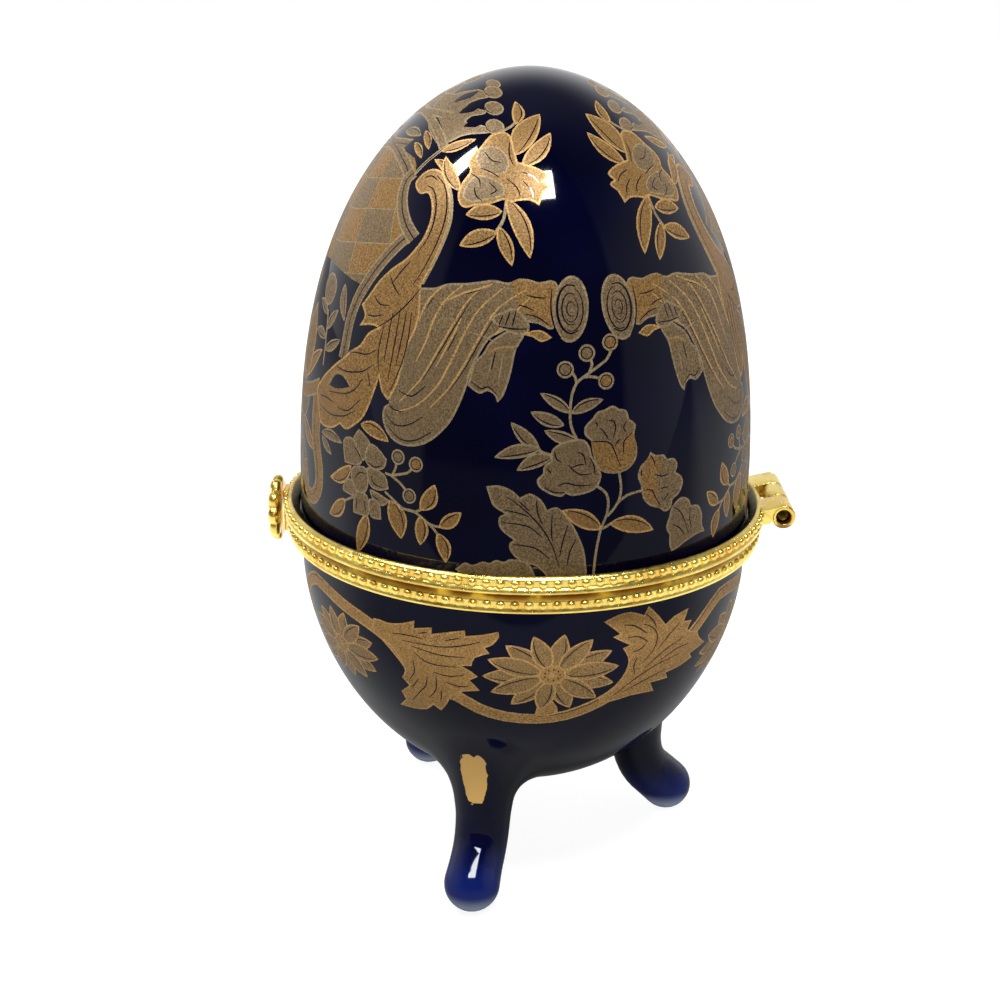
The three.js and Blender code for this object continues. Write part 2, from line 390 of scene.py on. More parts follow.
def add_inner_wall(clay, dome, edge, rim, around):
    """The wall's rim and the inner face, down to the pole."""
    inner = DomeCurve(dome, edge, WALL)
    side = dome["side"]
    first, last = inner.length[0], inner.length[-1]
    shares = [k / INNER_RINGS for k in range(INNER_RINGS)]
    rings = [clay.ring(inner, between(first, last, share), around, -1) for share in shares]
    pole = clay.add(Vector((0, 0, inner.height[-1])), Vector((0, 0, -side)))
    chain = [rim] + rings
    for low, high in zip(chain, chain[1:]):
        clay.bridge(*((high, low) if side > 0 else (low, high)))
    for i in range(around):
        j = (i + 1) % around
        corners = (rings[-1][i], pole, rings[-1][j]) if side > 0 else (rings[-1][i], rings[-1][j], pole)
        clay.face(corners)


# ---------------------------------------------------------------- materials


SOLE_GREY = (0.30, 0.34, 0.44)
KNEE_GOLD = (0.92, 0.56, 0.17)
SEAM_BROWN = (0.16, 0.05, 0.012)
# Painted shade for the inner wall of the lid rim's trough.
TROUGH_SHADE = (0.02, 0.015, 0.01)
# The gold dab on each knee, in mm: across the leg by its side and half width, up it by its middle.
DAB = dict(side=0.2, half_width=1.35, widening=0.5, middle=19.1, half_height=4.2)


class Shading:
    """The nodes of a material or of the world, with short ways to add and join them."""

    def __init__(self, owner, shader):
        owner.use_nodes = True
        self.nodes, self.links = owner.node_tree.nodes, owner.node_tree.links
        self.shader = self.nodes[shader]

    def node(self, kind, **values):
        """A new node, with its properties and inputs set by name."""
        made = self.nodes.new(kind)
        for key, value in values.items():
            if key in made.bl_rna.properties:
                setattr(made, key, value)
            else:
                made.inputs[key].default_value = value
        return made

    def feed(self, value, socket):
        """Links an output to a socket, or sets a plain value on it."""
        if hasattr(value, "links"):
            self.links.new(value, socket)
        else:
            socket.default_value = value

    def maths(self, operation, *values):
        step = self.node("ShaderNodeMath", operation=operation)
        for socket, value in zip(step.inputs, values):
            self.feed(value, socket)
        return step.outputs[0]

    def times(self, first, second):
        return self.maths("MULTIPLY", first, second)

    def mix(self, factor, first, second):
        """The first colour where the factor is 0, and the second where it is 1."""
        made = self.node("ShaderNodeMix", data_type="RGBA")
        self.feed(factor, made.inputs[0])
        for socket, colour in ((made.inputs[6], first), (made.inputs[7], second)):
            self.feed(colour if hasattr(colour, "links") else (*colour, 1.0), socket)
        return made.outputs[2]

    def ramp(self, source, low, high, kind="SMOOTHSTEP"):
        """0 at the low value, 1 at the high one, and a soft step between."""
        span = self.node("ShaderNodeMapRange", interpolation_type=kind)
        span.inputs["From Min"].default_value = low
        span.inputs["From Max"].default_value = high
        self.links.new(source, span.inputs["Value"])
        return span.outputs["Result"]

    def place(self):
        """Where on the piece a point lies, in metres."""
        return self.node("ShaderNodeTexCoord").outputs["Object"]

    def noise(self, scale, detail=2.0, roughness=0.5):
        made = self.node("ShaderNodeTexNoise", Scale=scale, Detail=detail, Roughness=roughness)
        self.links.new(self.place(), made.inputs["Vector"])
        return made.outputs["Fac"]

    def split(self, vector):
        """The three parts of a vector."""
        made = self.node("ShaderNodeSeparateXYZ")
        self.links.new(vector, made.inputs[0])
        return made.outputs

    def colour(self, source):
        self.links.new(source, self.shader.inputs["Base Color"])

    def bump(self, source, strength, distance):
        made = self.node("ShaderNodeBump", Strength=strength, Distance=distance)
        self.links.new(source, made.inputs["Height"])
        self.links.new(made.outputs["Normal"], self.shader.inputs["Normal"])


def new_material(name):
    material = bpy.data.materials.new(name)
    return material, Shading(material, "Principled BSDF")


def knee_dab(net):
    """1 inside the ragged dab of gold on a leg's knee, and 0 outside it."""
    knee = net.node("ShaderNodeAttribute", attribute_name="knee")
    side, up, _ = net.split(knee.outputs["Vector"])
    width = net.maths("ADD", DAB["half_width"], net.times(net.ramp(up, 15.5, 20.0), DAB["widening"]))
    across = net.maths("ABSOLUTE", net.maths("SUBTRACT", side, DAB["side"]))
    along = net.maths("ABSOLUTE", net.maths("SUBTRACT", up, DAB["middle"]))
    across = net.maths("POWER", net.maths("DIVIDE", across, width), 3.0)
    along = net.maths("POWER", net.maths("DIVIDE", along, DAB["half_height"]), 3.0)
    wander = net.times(net.maths("SUBTRACT", net.noise(900, 3), 0.5), 1.5)
    reach = net.maths("ADD", net.maths("ADD", across, along), wander)
    return net.ramp(reach, 1.05, 0.95)


def glaze_material(settings):
    """Cobalt glaze: near black where it is deep, bluer where it runs thin at the feet, with a painted blue
    sheen in a band under the rim, and gold on the knees.
    """
    material, net = new_material("glaze_cobalt")
    _, _, height = net.split(net.place())
    cloud = net.ramp(net.noise(90, 3), 0.35, 0.7)
    deep = net.mix(cloud, settings.glaze, [c * 1.7 for c in settings.glaze])
    feet = net.ramp(height, 9.5 * MM, 3.0 * MM)
    # Painted light: a blue sheen in the thin glaze colour, in a band just under the rim.
    painted_sheen_band = net.times(net.ramp(height, 43.5 * MM, 47.5 * MM), 0.3)
    painted_sheen_band = net.times(painted_sheen_band, net.ramp(height, 49.2 * MM, 48.8 * MM))
    colour = net.mix(net.maths("MAXIMUM", feet, painted_sheen_band), deep, settings.thin_glaze_and_sheen)
    colour = net.mix(net.ramp(height, 3.6 * MM, 0.8 * MM), colour, SOLE_GREY)
    gold = knee_dab(net)
    net.colour(net.mix(gold, colour, KNEE_GOLD))
    net.links.new(net.times(gold, 0.45), net.shader.inputs["Metallic"])
    net.shader.inputs["Roughness"].default_value = 0.045
    net.shader.inputs["IOR"].default_value = 1.52
    net.bump(net.noise(60, 2), 0.04, 0.4 * MM)
    return material


def print_material(name, colour, glint):
    """Gold print: a dull stipple of dark and bright grains."""
    material, net = new_material(name)
    grain = net.ramp(net.noise(4700, 2, 0.75), 0.35, 0.66, "LINEAR")
    stipple = net.mix(grain, [c * 0.34 for c in colour], [min(c * glint, 1) for c in colour])
    calm = net.times(net.ramp(net.noise(140, 3), 0.3, 0.75), 0.45)
    net.colour(net.mix(calm, stipple, colour))
    net.shader.inputs["Roughness"].default_value = 0.4
    net.shader.inputs["Metallic"].default_value = 0.35
    net.shader.inputs["Specular IOR Level"].default_value = 0.35
    return material


def brass_material(name, colour):
    """Lacquered yellow brass, unevenly polished, brown at the seam, and painted near black in the lid rim's
    trough as painted shade.
    """
    material, net = new_material(name)
    x, y, height = net.split(net.place())
    cloud = net.noise(260, 4)
    red, green, blue = colour
    tone = net.mix(net.ramp(cloud, 0.42, 0.68), colour, (red * 0.86, green * 0.74, blue * 0.6))
    from_seam = net.maths("ABSOLUTE", net.maths("SUBTRACT", height, (SEAM[0] - 0.05) * MM))
    seam = net.times(net.ramp(from_seam, 0.8 * MM, 0.15 * MM), net.ramp(cloud, 0.3, 0.5))
    tone = net.mix(net.times(seam, 0.85), tone, SEAM_BROWN)
    reach = net.maths("SQRT", net.maths("ADD", net.times(x, x), net.times(y, y)))
    # Painted shade: the lid rim's trough is painted near black, darker towards the bottom.
    trough = net.times(net.ramp(reach, 32.0 * MM, 31.4 * MM), net.ramp(height, 50.2 * MM, 50.3 * MM))
    trough = net.times(trough, net.ramp(height, 53.0 * MM, 51.2 * MM))
    net.colour(net.mix(net.times(trough, 0.92), tone, TROUGH_SHADE))
    net.shader.inputs["Metallic"].default_value = 1.0
    polish = net.times(net.ramp(net.noise(900, 3), 0.3, 0.8), 0.14)
    net.links.new(net.maths("ADD", polish, 0.25), net.shader.inputs["Roughness"])
    net.bump(net.noise(1500, 3), 0.35, 0.12 * MM)
    return material


READY = {}


def cached(name, make):
    """The material of that name, made once and then shared."""
    if name not in READY:
        READY[name] = make()
    return READY[name]


def gold_print(name, glint):
    colour = getattr(bpy.context.scene.egg_porcelain, name + "_print")
    return cached(name, lambda: print_material("print_" + name, colour, glint))


def porcelain_materials(warm, dull):
    """The glaze and the inks, in the order of the inks' numbers."""
    glaze = cached("glaze", lambda: glaze_material(bpy.context.scene.egg_porcelain))
    prints = (("line", 1.3), (warm, 1.75), (dull, 1.75), ("bright", 1.4))
    return [glaze] + [gold_print(name, glint) for name, glint in prints]


def brass():
    return cached("brass", lambda: brass_material("brass_polished", bpy.context.scene.egg_brass.brass))


def finish_piece(piece, body, stands_for):
    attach(piece, body)
    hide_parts(stands_for)


# ---------------------------------------------------------------- the print's motifs


def smooth_path(points, closed=True, fine=3):
    """A smooth curve through the points; a point with a third number is a sharp corner."""
    places = [Vector(p[:2]) for p in points]
    sharp = [len(p) > 2 for p in points]
    count = len(places)
    path = []
    for i in range(count if closed else count - 1):
        j = (i + 1) % count
        b, c = places[i], places[j]
        a = places[i - 1] if (closed or i) and not sharp[i] else b
        d = places[(i + 2) % count] if (closed or i + 2 < count) and not sharp[j] else c
        path += [eased(a, b, c, d, s / fine) for s in range(fine)]
    if not closed:
        path.append(places[-1])
    return path


def gap_to(point, outline):
    nearest = 1e9
    for a, b in zip(outline, outline[1:] + outline[:1]):
        way = b - a
        share = min(max((point - a).dot(way) / max(way.length_squared, 1e-12), 0), 1)
        nearest = min(nearest, (a + way * share - point).length)
    return nearest


def inset(outline, gap):
    """The outline drawn in by a gap, without its overlaps at sharp tips."""
    if signed_area(outline) < 0:
        outline = outline[::-1]
    count = len(outline)
    moved = []
    for i in range(count):
        here = outline[i]
        to, on = (here - outline[i - 1]).normalized(), (outline[(i + 1) % count] - here).normalized()
        first, second = Vector((-to.y, to.x)), Vector((-on.y, on.x))
        middle = first + second
        if middle.length < 0.2:
            continue
        middle.normalize()
        moved.append(here + middle * (gap / max(middle.dot(first), 0.4)))
    return [p for p in moved if gap_to(p, outline) > gap * 0.85]


def ribbon(path, widths):
    """A band of changing width along a path, as one outline."""
    left, right = [], []
    last = len(path) - 1
    for i, here in enumerate(path):
        way = (path[min(i + 1, last)] - path[max(i - 1, 0)]).normalized()
        across = Vector((-way.y, way.x)) * (widths(i / last) / 2)
        left.append(here + across)
        right.append(here - across)
    return left + right[::-1]


def band(chart, path, widths, edge, fill, pale=LINE):
    """A band along a path with a pale outline; the edge is how much narrower its fill is."""
    whole = chart.area(ribbon(path, widths), pale)
    chart.area(ribbon(path, lambda t: widths(t) - edge), fill)
    return whole


def stroke(chart, points, width=0.17, ink=GLAZE, within=None, fine=3, taper=True):
    """A thin line, finer towards its ends unless it is kept even."""

    def widths(t):
        swell = 0.45 + 0.55 * math.sin(math.pi * min(max(t, 0.08), 0.92))
        return width * swell if taper else width

    return chart.area(ribbon(smooth_path(points, False, fine), widths), ink, within)


def strokes(chart, lines, within=None, width=0.17):
    """Thin lines left bare in the print."""
    for line in lines:
        stroke(chart, line, width, within=within)


def stem(chart, points, width=0.32):
    return stroke(chart, points, width, LINE, taper=False)


def filled(chart, outline, fill, edge, within=None, pale=None):
    """A fine pale outline, as wide as the edge, and its fill."""
    whole = chart.area(outline, pale or (BRIGHT if fill == WARM else LINE), within)
    inner = inset(outline, edge)
    if len(inner) > 2:
        chart.area(inner, fill, within)
    return whole


def shape(chart, points, fill, edge=0.24, fine=3, lines=(), within=None, pale_lines=()):
    """A printed form: a fine pale outline, its fill, and pale and bare lines inside it."""
    whole = filled(chart, smooth_path(points, True, fine), fill, edge, within)
    for line in pale_lines:
        stroke(chart, line, 0.16, LINE, whole)
    strokes(chart, lines, whole)
    return whole


def leaf(chart, base, tip, width, fill=WARM, bend=0.0, side=1, pale=None):
    """A pointed leaf with a bare line inside one edge."""
    base, tip = Vector(base), Vector(tip)
    along = tip - base
    across = Vector((-along.y, along.x)).normalized()

    def centre(t):
        return base + along * t + across * (bend * 4 * t * (1 - t))

    def half(t):
        return width / 2 * math.sin(math.pi * t**0.9) ** 0.8

    steps = [0.06, 0.16, 0.3, 0.45, 0.6, 0.74, 0.87, 0.95]
    left = [centre(t) + across * half(t) for t in steps]
    right = [centre(t) - across * half(t) for t in steps]
    whole = filled(chart, [base, *left, tip, *right[::-1]], fill, 0.22, pale=pale)
    line = [centre(t) + across * (side * half(t) * 0.5) for t in (0.1, 0.3, 0.5, 0.7, 0.88)]
    stroke(chart, line, 0.16, GLAZE, whole, 2)


def disc(chart, x, y, radius, ink, sides=18, tall=1.0, tilt=0.0):
    """A filled circle or oval."""
    turn = Matrix.Rotation(math.radians(tilt), 2)
    points = []
    for i in range(sides):
        a = math.tau * i / sides
        points.append(Vector((x, y)) + turn @ Vector((radius * math.cos(a), radius * tall * math.sin(a))))
    return chart.area(points, ink)


def berry(chart, x, y, radius, fill):
    disc(chart, x, y, radius, LINE)
    disc(chart, x, y, radius * 0.76, GLAZE, 14)
    disc(chart, x, y, radius * 0.62, fill, 12)


def side_bouquet(chart):
    """Roses, leaves and berries that rise from the lid's rim."""
    flat_leaf = [
        (-13.4, 1.9, 1), (-12.2, 2.9), (-11.2, 2.7), (-10.0, 3.25), (-9.2, 3.1), (-8.4, 3.55), (-7.5, 3.35),
        (-6.6, 3.75), (-4.6, 3.3), (-3.6, 1.2, 1), (-12.0, 1.0, 1),
    ]
    shape(chart, flat_leaf, GREY)
    big_leaf = [
        (-9.65, 12.55, 1), (-8.1, 12.75), (-6.6, 12.2), (-5.7, 11.35, 1), (-4.5, 11.9), (-3.2, 11.1),
        (-2.5, 9.9, 1), (-1.4, 10.2), (-0.3, 9.3), (0.6, 7.9), (1.5, 6.1), (2.15, 4.1), (2.5, 1.0, 1),
        (-2.0, 1.0, 1), (-3.5, 2.8), (-5.3, 3.35), (-6.6, 4.5), (-6.9, 5.6), (-6.35, 6.15, 1), (-7.9, 7.4),
        (-8.15, 8.8), (-7.4, 9.35, 1), (-8.75, 10.2), (-9.3, 11.5),
    ]
    veins = [
        [(-7.2, 11.4), (-5.5, 10.2), (-3.45, 8.1), (-1.9, 5.6), (-0.9, 2.6)],
        [(-3.75, 11.1), (-3.6, 9.5), (-3.0, 8.1)], [(-1.9, 9.3), (-1.95, 7.2), (-1.8, 6.0)],
        [(-0.05, 7.9), (-0.6, 5.9), (-0.9, 4.2)], [(-7.5, 9.8), (-5.5, 9.4), (-4.6, 9.0)],
        [(-7.7, 8.25), (-4.8, 7.9), (-3.0, 6.5)], [(-6.4, 5.6), (-3.9, 5.2), (-2.1, 3.8)],
        [(-5.8, 10.9), (-4.6, 9.8)], [(1.0, 6.2), (0.3, 4.6), (0.0, 2.9)],
    ]
    shape(chart, big_leaf, GREY, lines=veins)
    stem(chart, [(3.25, 1.2), (3.45, 4.0), (3.95, 7.0), (4.65, 8.8), (4.85, 10.3), (4.5, 11.6), (3.4, 12.5)])
    stem(chart, [(4.75, 8.7), (5.6, 9.6), (6.25, 10.7), (6.43, 12.2), (6.1, 14.0)])
    stem(chart, [(5.9, 10.1), (7.3, 11.05), (9.3, 11.35)])
    stem(chart, [(4.2, 7.2), (5.2, 7.7), (6.4, 8.1)])
    leaf(chart, (4.1, 7.2), (-0.8, 9.8), 2.15, WARM, -0.15, -1)
    leaf(chart, (5.1, 7.8), (11.1, 6.15), 2.2, WARM, 0.35, 1)
    stem(chart, [
        (0.9, 18.2), (0.25, 19.6), (0.07, 21.1), (0.2, 22.9), (0.5, 24.0), (1.0, 24.9), (2.0, 25.6),
        (3.4, 26.5), (4.5, 27.3), (5.1, 28.4),
    ])
    stem(chart, [(0.85, 24.7), (0.65, 25.5), (0.1, 26.2)])
    stem(chart, [(2.3, 25.8), (2.7, 26.8), (2.3, 27.8)])
    stem(chart, [(1.7, 25.35), (2.6, 25.4), (3.8, 25.1)])
    for x, y, fill in ((-0.45, 26.3, GREY), (2.1, 28.1, GREY), (4.95, 29.2, WARM), (4.4, 24.8, WARM)):
        berry(chart, x, y, 1.0, fill)
    leaf(chart, (0.2, 21.3), (-3.4, 23.65), 1.35, GREY, -0.1, -1)
    leaf(chart, (0.2, 21.25), (4.05, 22.7), 1.45, GREY, 0.2, 1)
    leaf(chart, (-0.6, 19.9), (-4.5, 21.5), 1.6, GREY, 0.1, 1)
    leaf(chart, (1.0, 18.0), (-2.95, 19.35), 1.5, GREY, 0.15, -1)
    stem(chart, [(-2.0, 16.4), (-3.2, 16.8), (-3.9, 17.4)], 0.4)
    leaf(chart, (-3.4, 17.0), (-6.75, 20.25), 1.6, GREY, 0.1, 1)
    leaf(chart, (-3.3, 17.2), (-8.7, 16.05), 1.7, GREY, -0.25, 1)
    leaf(chart, (-1.9, 16.3), (-6.1, 14.6), 1.75, GREY, -0.3, 1)
    upper_rose = [
        (3.8, 14.35), (5.2, 13.85), (7.0, 14.05), (8.2, 15.1), (8.45, 16.6), (8.0, 18.2), (8.2, 19.4),
        (7.3, 20.2, 1), (6.95, 21.2), (6.0, 21.45, 1), (5.2, 21.9), (4.15, 21.5, 1), (3.3, 21.3),
        (2.75, 20.6, 1), (1.85, 19.7), (1.8, 18.7), (2.55, 18.0, 1), (2.8, 16.5), (3.2, 15.1),
    ]
    whole = shape(chart, upper_rose, GREY)
    front_petal = [
        (2.5, 17.8), (3.8, 17.75), (4.95, 17.45), (5.6, 17.0), (6.6, 17.7), (7.2, 18.4), (8.05, 18.2),
        (8.3, 16.6), (8.0, 15.2), (7.0, 14.25), (5.2, 14.05), (3.9, 14.5), (3.3, 15.2), (2.95, 16.5),
    ]
    chart.area(smooth_path(front_petal, True, 2), WARM, whole)
    strokes(chart, (
        [(2.45, 17.85), (3.8, 17.8), (4.95, 17.5), (5.6, 16.3), (6.3, 14.6)],
        [(6.65, 16.1), (6.7, 17.6), (7.7, 18.45)], [(3.7, 19.4), (4.2, 18.8), (4.7, 18.0)],
        [(4.7, 20.2), (5.3, 20.1), (5.6, 19.3), (5.3, 18.1)], [(6.9, 19.9), (6.6, 19.2), (6.9, 18.7)],
        [(3.1, 20.2), (3.4, 19.6)], [(5.6, 17.3), (6.1, 17.9)],
    ), whole)
    middle_rose = [
        (0.6, 18.25), (1.8, 18.1), (2.45, 17.2), (2.75, 16.1), (3.6, 14.7), (3.9, 13.6), (3.35, 12.3),
        (2.0, 11.7), (0.4, 11.5), (-0.35, 11.85, 1), (-0.9, 11.45), (-2.1, 11.75), (-3.4, 12.55),
        (-3.75, 13.5), (-3.05, 14.25, 1), (-2.9, 15.2), (-2.1, 15.8, 1), (-2.05, 17.0), (-1.0, 17.85),
    ]
    middle_lines = [
        [(1.0, 16.7), (1.7, 16.3), (1.95, 15.1)], [(-0.05, 15.2), (0.6, 14.5), (1.5, 14.0), (2.7, 14.1)],
        [(-1.2, 12.8), (-0.3, 13.1), (1.1, 12.7), (2.9, 12.7)],
        [(-2.9, 12.6), (-1.7, 12.0), (-0.45, 11.95)], [(2.5, 16.0), (3.0, 14.9), (3.1, 13.9)],
        [(-1.7, 16.9), (-1.5, 16.0), (-0.9, 15.6)], [(-2.6, 14.9), (-2.1, 14.3)],
        [(0.2, 14.9), (1.2, 15.2), (1.8, 15.2)],
    ]
    shape(chart, middle_rose, GREY, lines=middle_lines)
    right_rose = [
        (10.3, 15.9, 1), (11.1, 15.4), (12.2, 15.3), (12.75, 14.65, 1), (13.8, 14.6), (14.4, 13.8),
        (14.15, 12.8, 1), (15.1, 12.2), (15.4, 11.2), (14.85, 10.1), (13.8, 9.5, 1), (13.6, 8.5),
        (12.7, 8.15), (11.8, 8.75), (10.4, 9.3), (9.4, 10.4), (9.05, 12.0), (8.6, 13.1), (8.9, 14.3),
        (9.7, 14.95),
    ]
    right_lines = [
        [(10.25, 15.5), (10.8, 14.8), (10.95, 14.1)], [(11.0, 13.1), (12.0, 12.7), (13.1, 12.8)],
        [(9.4, 11.3), (10.6, 11.2), (11.3, 10.0), (12.2, 8.8)], [(11.9, 11.2), (13.1, 11.2)],
        [(13.2, 10.4), (12.4, 9.6)], [(9.1, 14.0), (9.1, 13.1)],
    ]
    whole = shape(chart, right_rose, GREY)
    chart.area(smooth_path([
        (10.2, 15.3), (11.6, 14.9), (11.9, 13.4), (10.9, 12.6), (11.6, 11.2), (11.4, 9.6), (12.4, 8.4),
        (10.5, 9.6), (9.6, 10.6), (9.3, 12.0), (8.9, 13.1), (9.2, 14.2),
    ], True, 2), WARM, whole)
    strokes(chart, right_lines, whole)
    bud = [
        (13.8, 8.6), (15.2, 9.5), (16.5, 9.0), (17.0, 8.1, 1), (18.4, 7.8), (19.2, 6.5), (19.3, 5.2),
        (19.95, 4.05, 1), (18.4, 4.05), (16.5, 3.6), (15.2, 3.1), (14.05, 2.8, 1), (13.6, 3.8),
        (13.6, 4.95, 1), (13.0, 6.1), (13.4, 7.4),
    ]
    shape(chart, bud, GREY, lines=[
        [(14.0, 8.4), (14.95, 7.9), (15.9, 6.55), (16.8, 4.5)], [(14.0, 6.3), (15.2, 5.6), (16.1, 4.5)],
        [(16.9, 7.9), (16.9, 6.4), (17.3, 5.2)],
    ])


def drapery(chart):
    """A swag of cloth that hangs from a rolled end, with its tie."""
    cloth = [
        (-19.0, 34.6), (-17.2, 34.8), (-15.4, 35.0), (-13.8, 35.6), (-11.7, 35.8), (-10.1, 36.05),
        (-8.3, 36.35), (-6.7, 36.1), (-5.4, 36.6), (-4.2, 36.5), (-3.1, 36.2), (-1.3, 36.3), (-0.4, 33.5),
        (-1.8, 30.9), (-3.4, 31.5), (-5.6, 31.6), (-7.4, 30.6), (-9.1, 29.6), (-10.4, 27.6), (-11.3, 25.8),
        (-11.8, 24.2), (-12.6, 22.2), (-13.8, 19.9), (-15.4, 18.1), (-17.2, 16.8), (-19.4, 16.2),
        (-21.3, 16.5), (-22.6, 17.6), (-23.1, 19.0), (-22.9, 20.3), (-22.0, 21.3), (-23.4, 24.5),
        (-22.4, 29.0),
    ]
    whole = shape(chart, cloth, GREY, 0.26)
    tube = [
        (-6.3, 36.2), (-5.4, 36.45), (-4.2, 36.35), (-3.1, 36.0), (-1.3, 36.1), (-0.9, 33.5), (-1.9, 31.1),
        (-3.2, 31.9), (-4.4, 32.5), (-5.6, 33.1), (-5.9, 34.6),
    ]
    chart.area(smooth_path(tube, True, 2), WARM, whole)
    folds = (
        [(-14.4, 35.3), (-16.0, 33.9), (-16.9, 32.7), (-17.7, 30.9)],
        [(-12.0, 35.5), (-14.1, 33.8), (-15.75, 31.3), (-16.9, 28.6), (-18.2, 26.3)],
        [(-9.4, 35.7), (-11.5, 33.75), (-13.4, 30.9), (-15.3, 27.9), (-17.7, 24.2), (-20.6, 21.3)],
        [
            (-7.1, 35.6), (-10.0, 33.1), (-11.75, 30.5), (-13.5, 27.2), (-15.4, 23.9), (-18.1, 21.3),
            (-21.2, 20.0),
        ],
        [(-4.6, 35.4), (-8.0, 33.1), (-10.15, 29.9), (-12.3, 26.2), (-14.2, 23.5), (-16.4, 21.2)],
        [(-4.3, 34.4), (-6.6, 32.2), (-9.0, 29.25), (-10.5, 26.9), (-11.8, 25.2)],
        [(-14.9, 33.2), (-12.1, 34.6), (-10.2, 35.2), (-8.4, 35.9)],
        [(-17.9, 32.0), (-18.9, 29.4), (-20.2, 26.2), (-21.6, 23.4)],
        [(-12.3, 31.8), (-13.2, 30.1), (-14.4, 28.0), (-15.6, 26.0)],
    )
    for k, path in enumerate(folds):
        stroke(chart, path, 0.24, BRIGHT, whole)
        if k % 2 == 0:
            stroke(chart, [(x + 0.3, y - 0.06) for x, y in path[1:-1]], 0.13, GLAZE, whole)
    strokes(chart, (
        [(-22.3, 21.1), (-21.5, 20.3), (-20.2, 20.2)],
        [(-22.7, 19.8), (-21.3, 18.5), (-19.3, 18.8), (-17.4, 20.0)],
        [(-22.4, 18.2), (-20.5, 16.9), (-18.4, 17.1), (-16.4, 18.3)],
        [(-20.6, 22.6), (-18.8, 22.2), (-17.0, 23.6)], [(-4.6, 34.7), (-3.6, 34.5), (-2.5, 34.4)],
        [(-5.6, 33.6), (-4.8, 33.4), (-3.9, 33.0)], [(-4.8, 32.6), (-3.4, 32.2), (-2.3, 31.4)],
    ), whole)
    tail = [
        (-8.9, 29.4), (-9.9, 27.9), (-10.9, 27.0), (-11.35, 25.6), (-11.75, 24.2, 1), (-10.4, 23.35),
        (-9.45, 23.7), (-8.6, 23.3), (-8.3, 22.45, 1), (-7.55, 23.3), (-6.8, 25.4), (-6.4, 27.0),
        (-6.0, 28.6), (-5.0, 30.4), (-6.4, 30.9),
    ]
    shape(
        chart, tail, GREY,
        lines=[[(-11.3, 24.7), (-10.2, 23.95), (-9.3, 24.2), (-8.3, 23.3)], [(-8.4, 28.2), (-8.9, 26.2)]],
        pale_lines=[[(-7.5, 28.0), (-8.1, 25.0)], [(-8.8, 27.6), (-9.2, 25.8)]],
    )
    shape(
        chart, [(-8.8, 31.9), (-7.2, 32.9), (-5.9, 33.2), (-4.4, 31.3), (-5.2, 30.2), (-7.0, 30.6)], GREY,
        lines=[
            [(-8.2, 31.2), (-6.6, 30.9), (-4.7, 30.9)], [(-7.4, 32.4), (-7.9, 31.3)],
            [(-6.6, 32.8), (-7.2, 31.2)], [(-5.9, 32.9), (-6.4, 31.2)],
        ],
    )
    chart.area([(-4.6, 30.95), (-2.8, 31.15), (-3.8, 31.5)], GLAZE)
    shape(chart, [
        (-5.2, 30.3), (-4.0, 30.75), (-2.9, 30.7), (-1.9, 29.95, 1), (-3.1, 29.45), (-4.1, 30.0),
    ], WARM, 0.2)
    x, y = 0.35, 33.15
    disc(chart, x, y, 2.1, LINE, 26, 1.82, -5)
    end = disc(chart, x, y, 1.86, GREY, 26, 1.88, -5)
    # The roll's coils: how far out, from which angle to which, and how wide.
    coils = (
        (0.80, 70, 300, 0.27), (0.72, 250, 430, 0.16), (0.52, 60, 290, 0.17), (0.42, 230, 420, 0.13),
        (0.24, 20, 300, 0.15),
    )
    for reach, first, last, width in coils:
        turns = [math.radians(between(first, last, s / 7)) for s in range(8)]
        coil = [(x + 2.0 * reach * math.cos(a), y + 3.5 * reach * math.sin(a)) for a in turns]
        stroke(chart, coil, width, GLAZE, end, 2)
    stroke(chart, [(-1.75, 35.4), (-1.95, 33.2), (-1.6, 31.2), (-0.9, 29.9)], 0.2)
    stroke(chart, [(-11.6, 30.25), (-10.1, 30.0), (-8.1, 29.2)], 0.15, LINE)
    stroke(chart, [(-9.2, 28.1), (-7.7, 28.7), (-6.0, 28.75)], 0.5, WARM)
    stroke(chart, [(-9.0, 28.2), (-7.7, 28.8), (-6.1, 28.85)], 0.22, LINE)


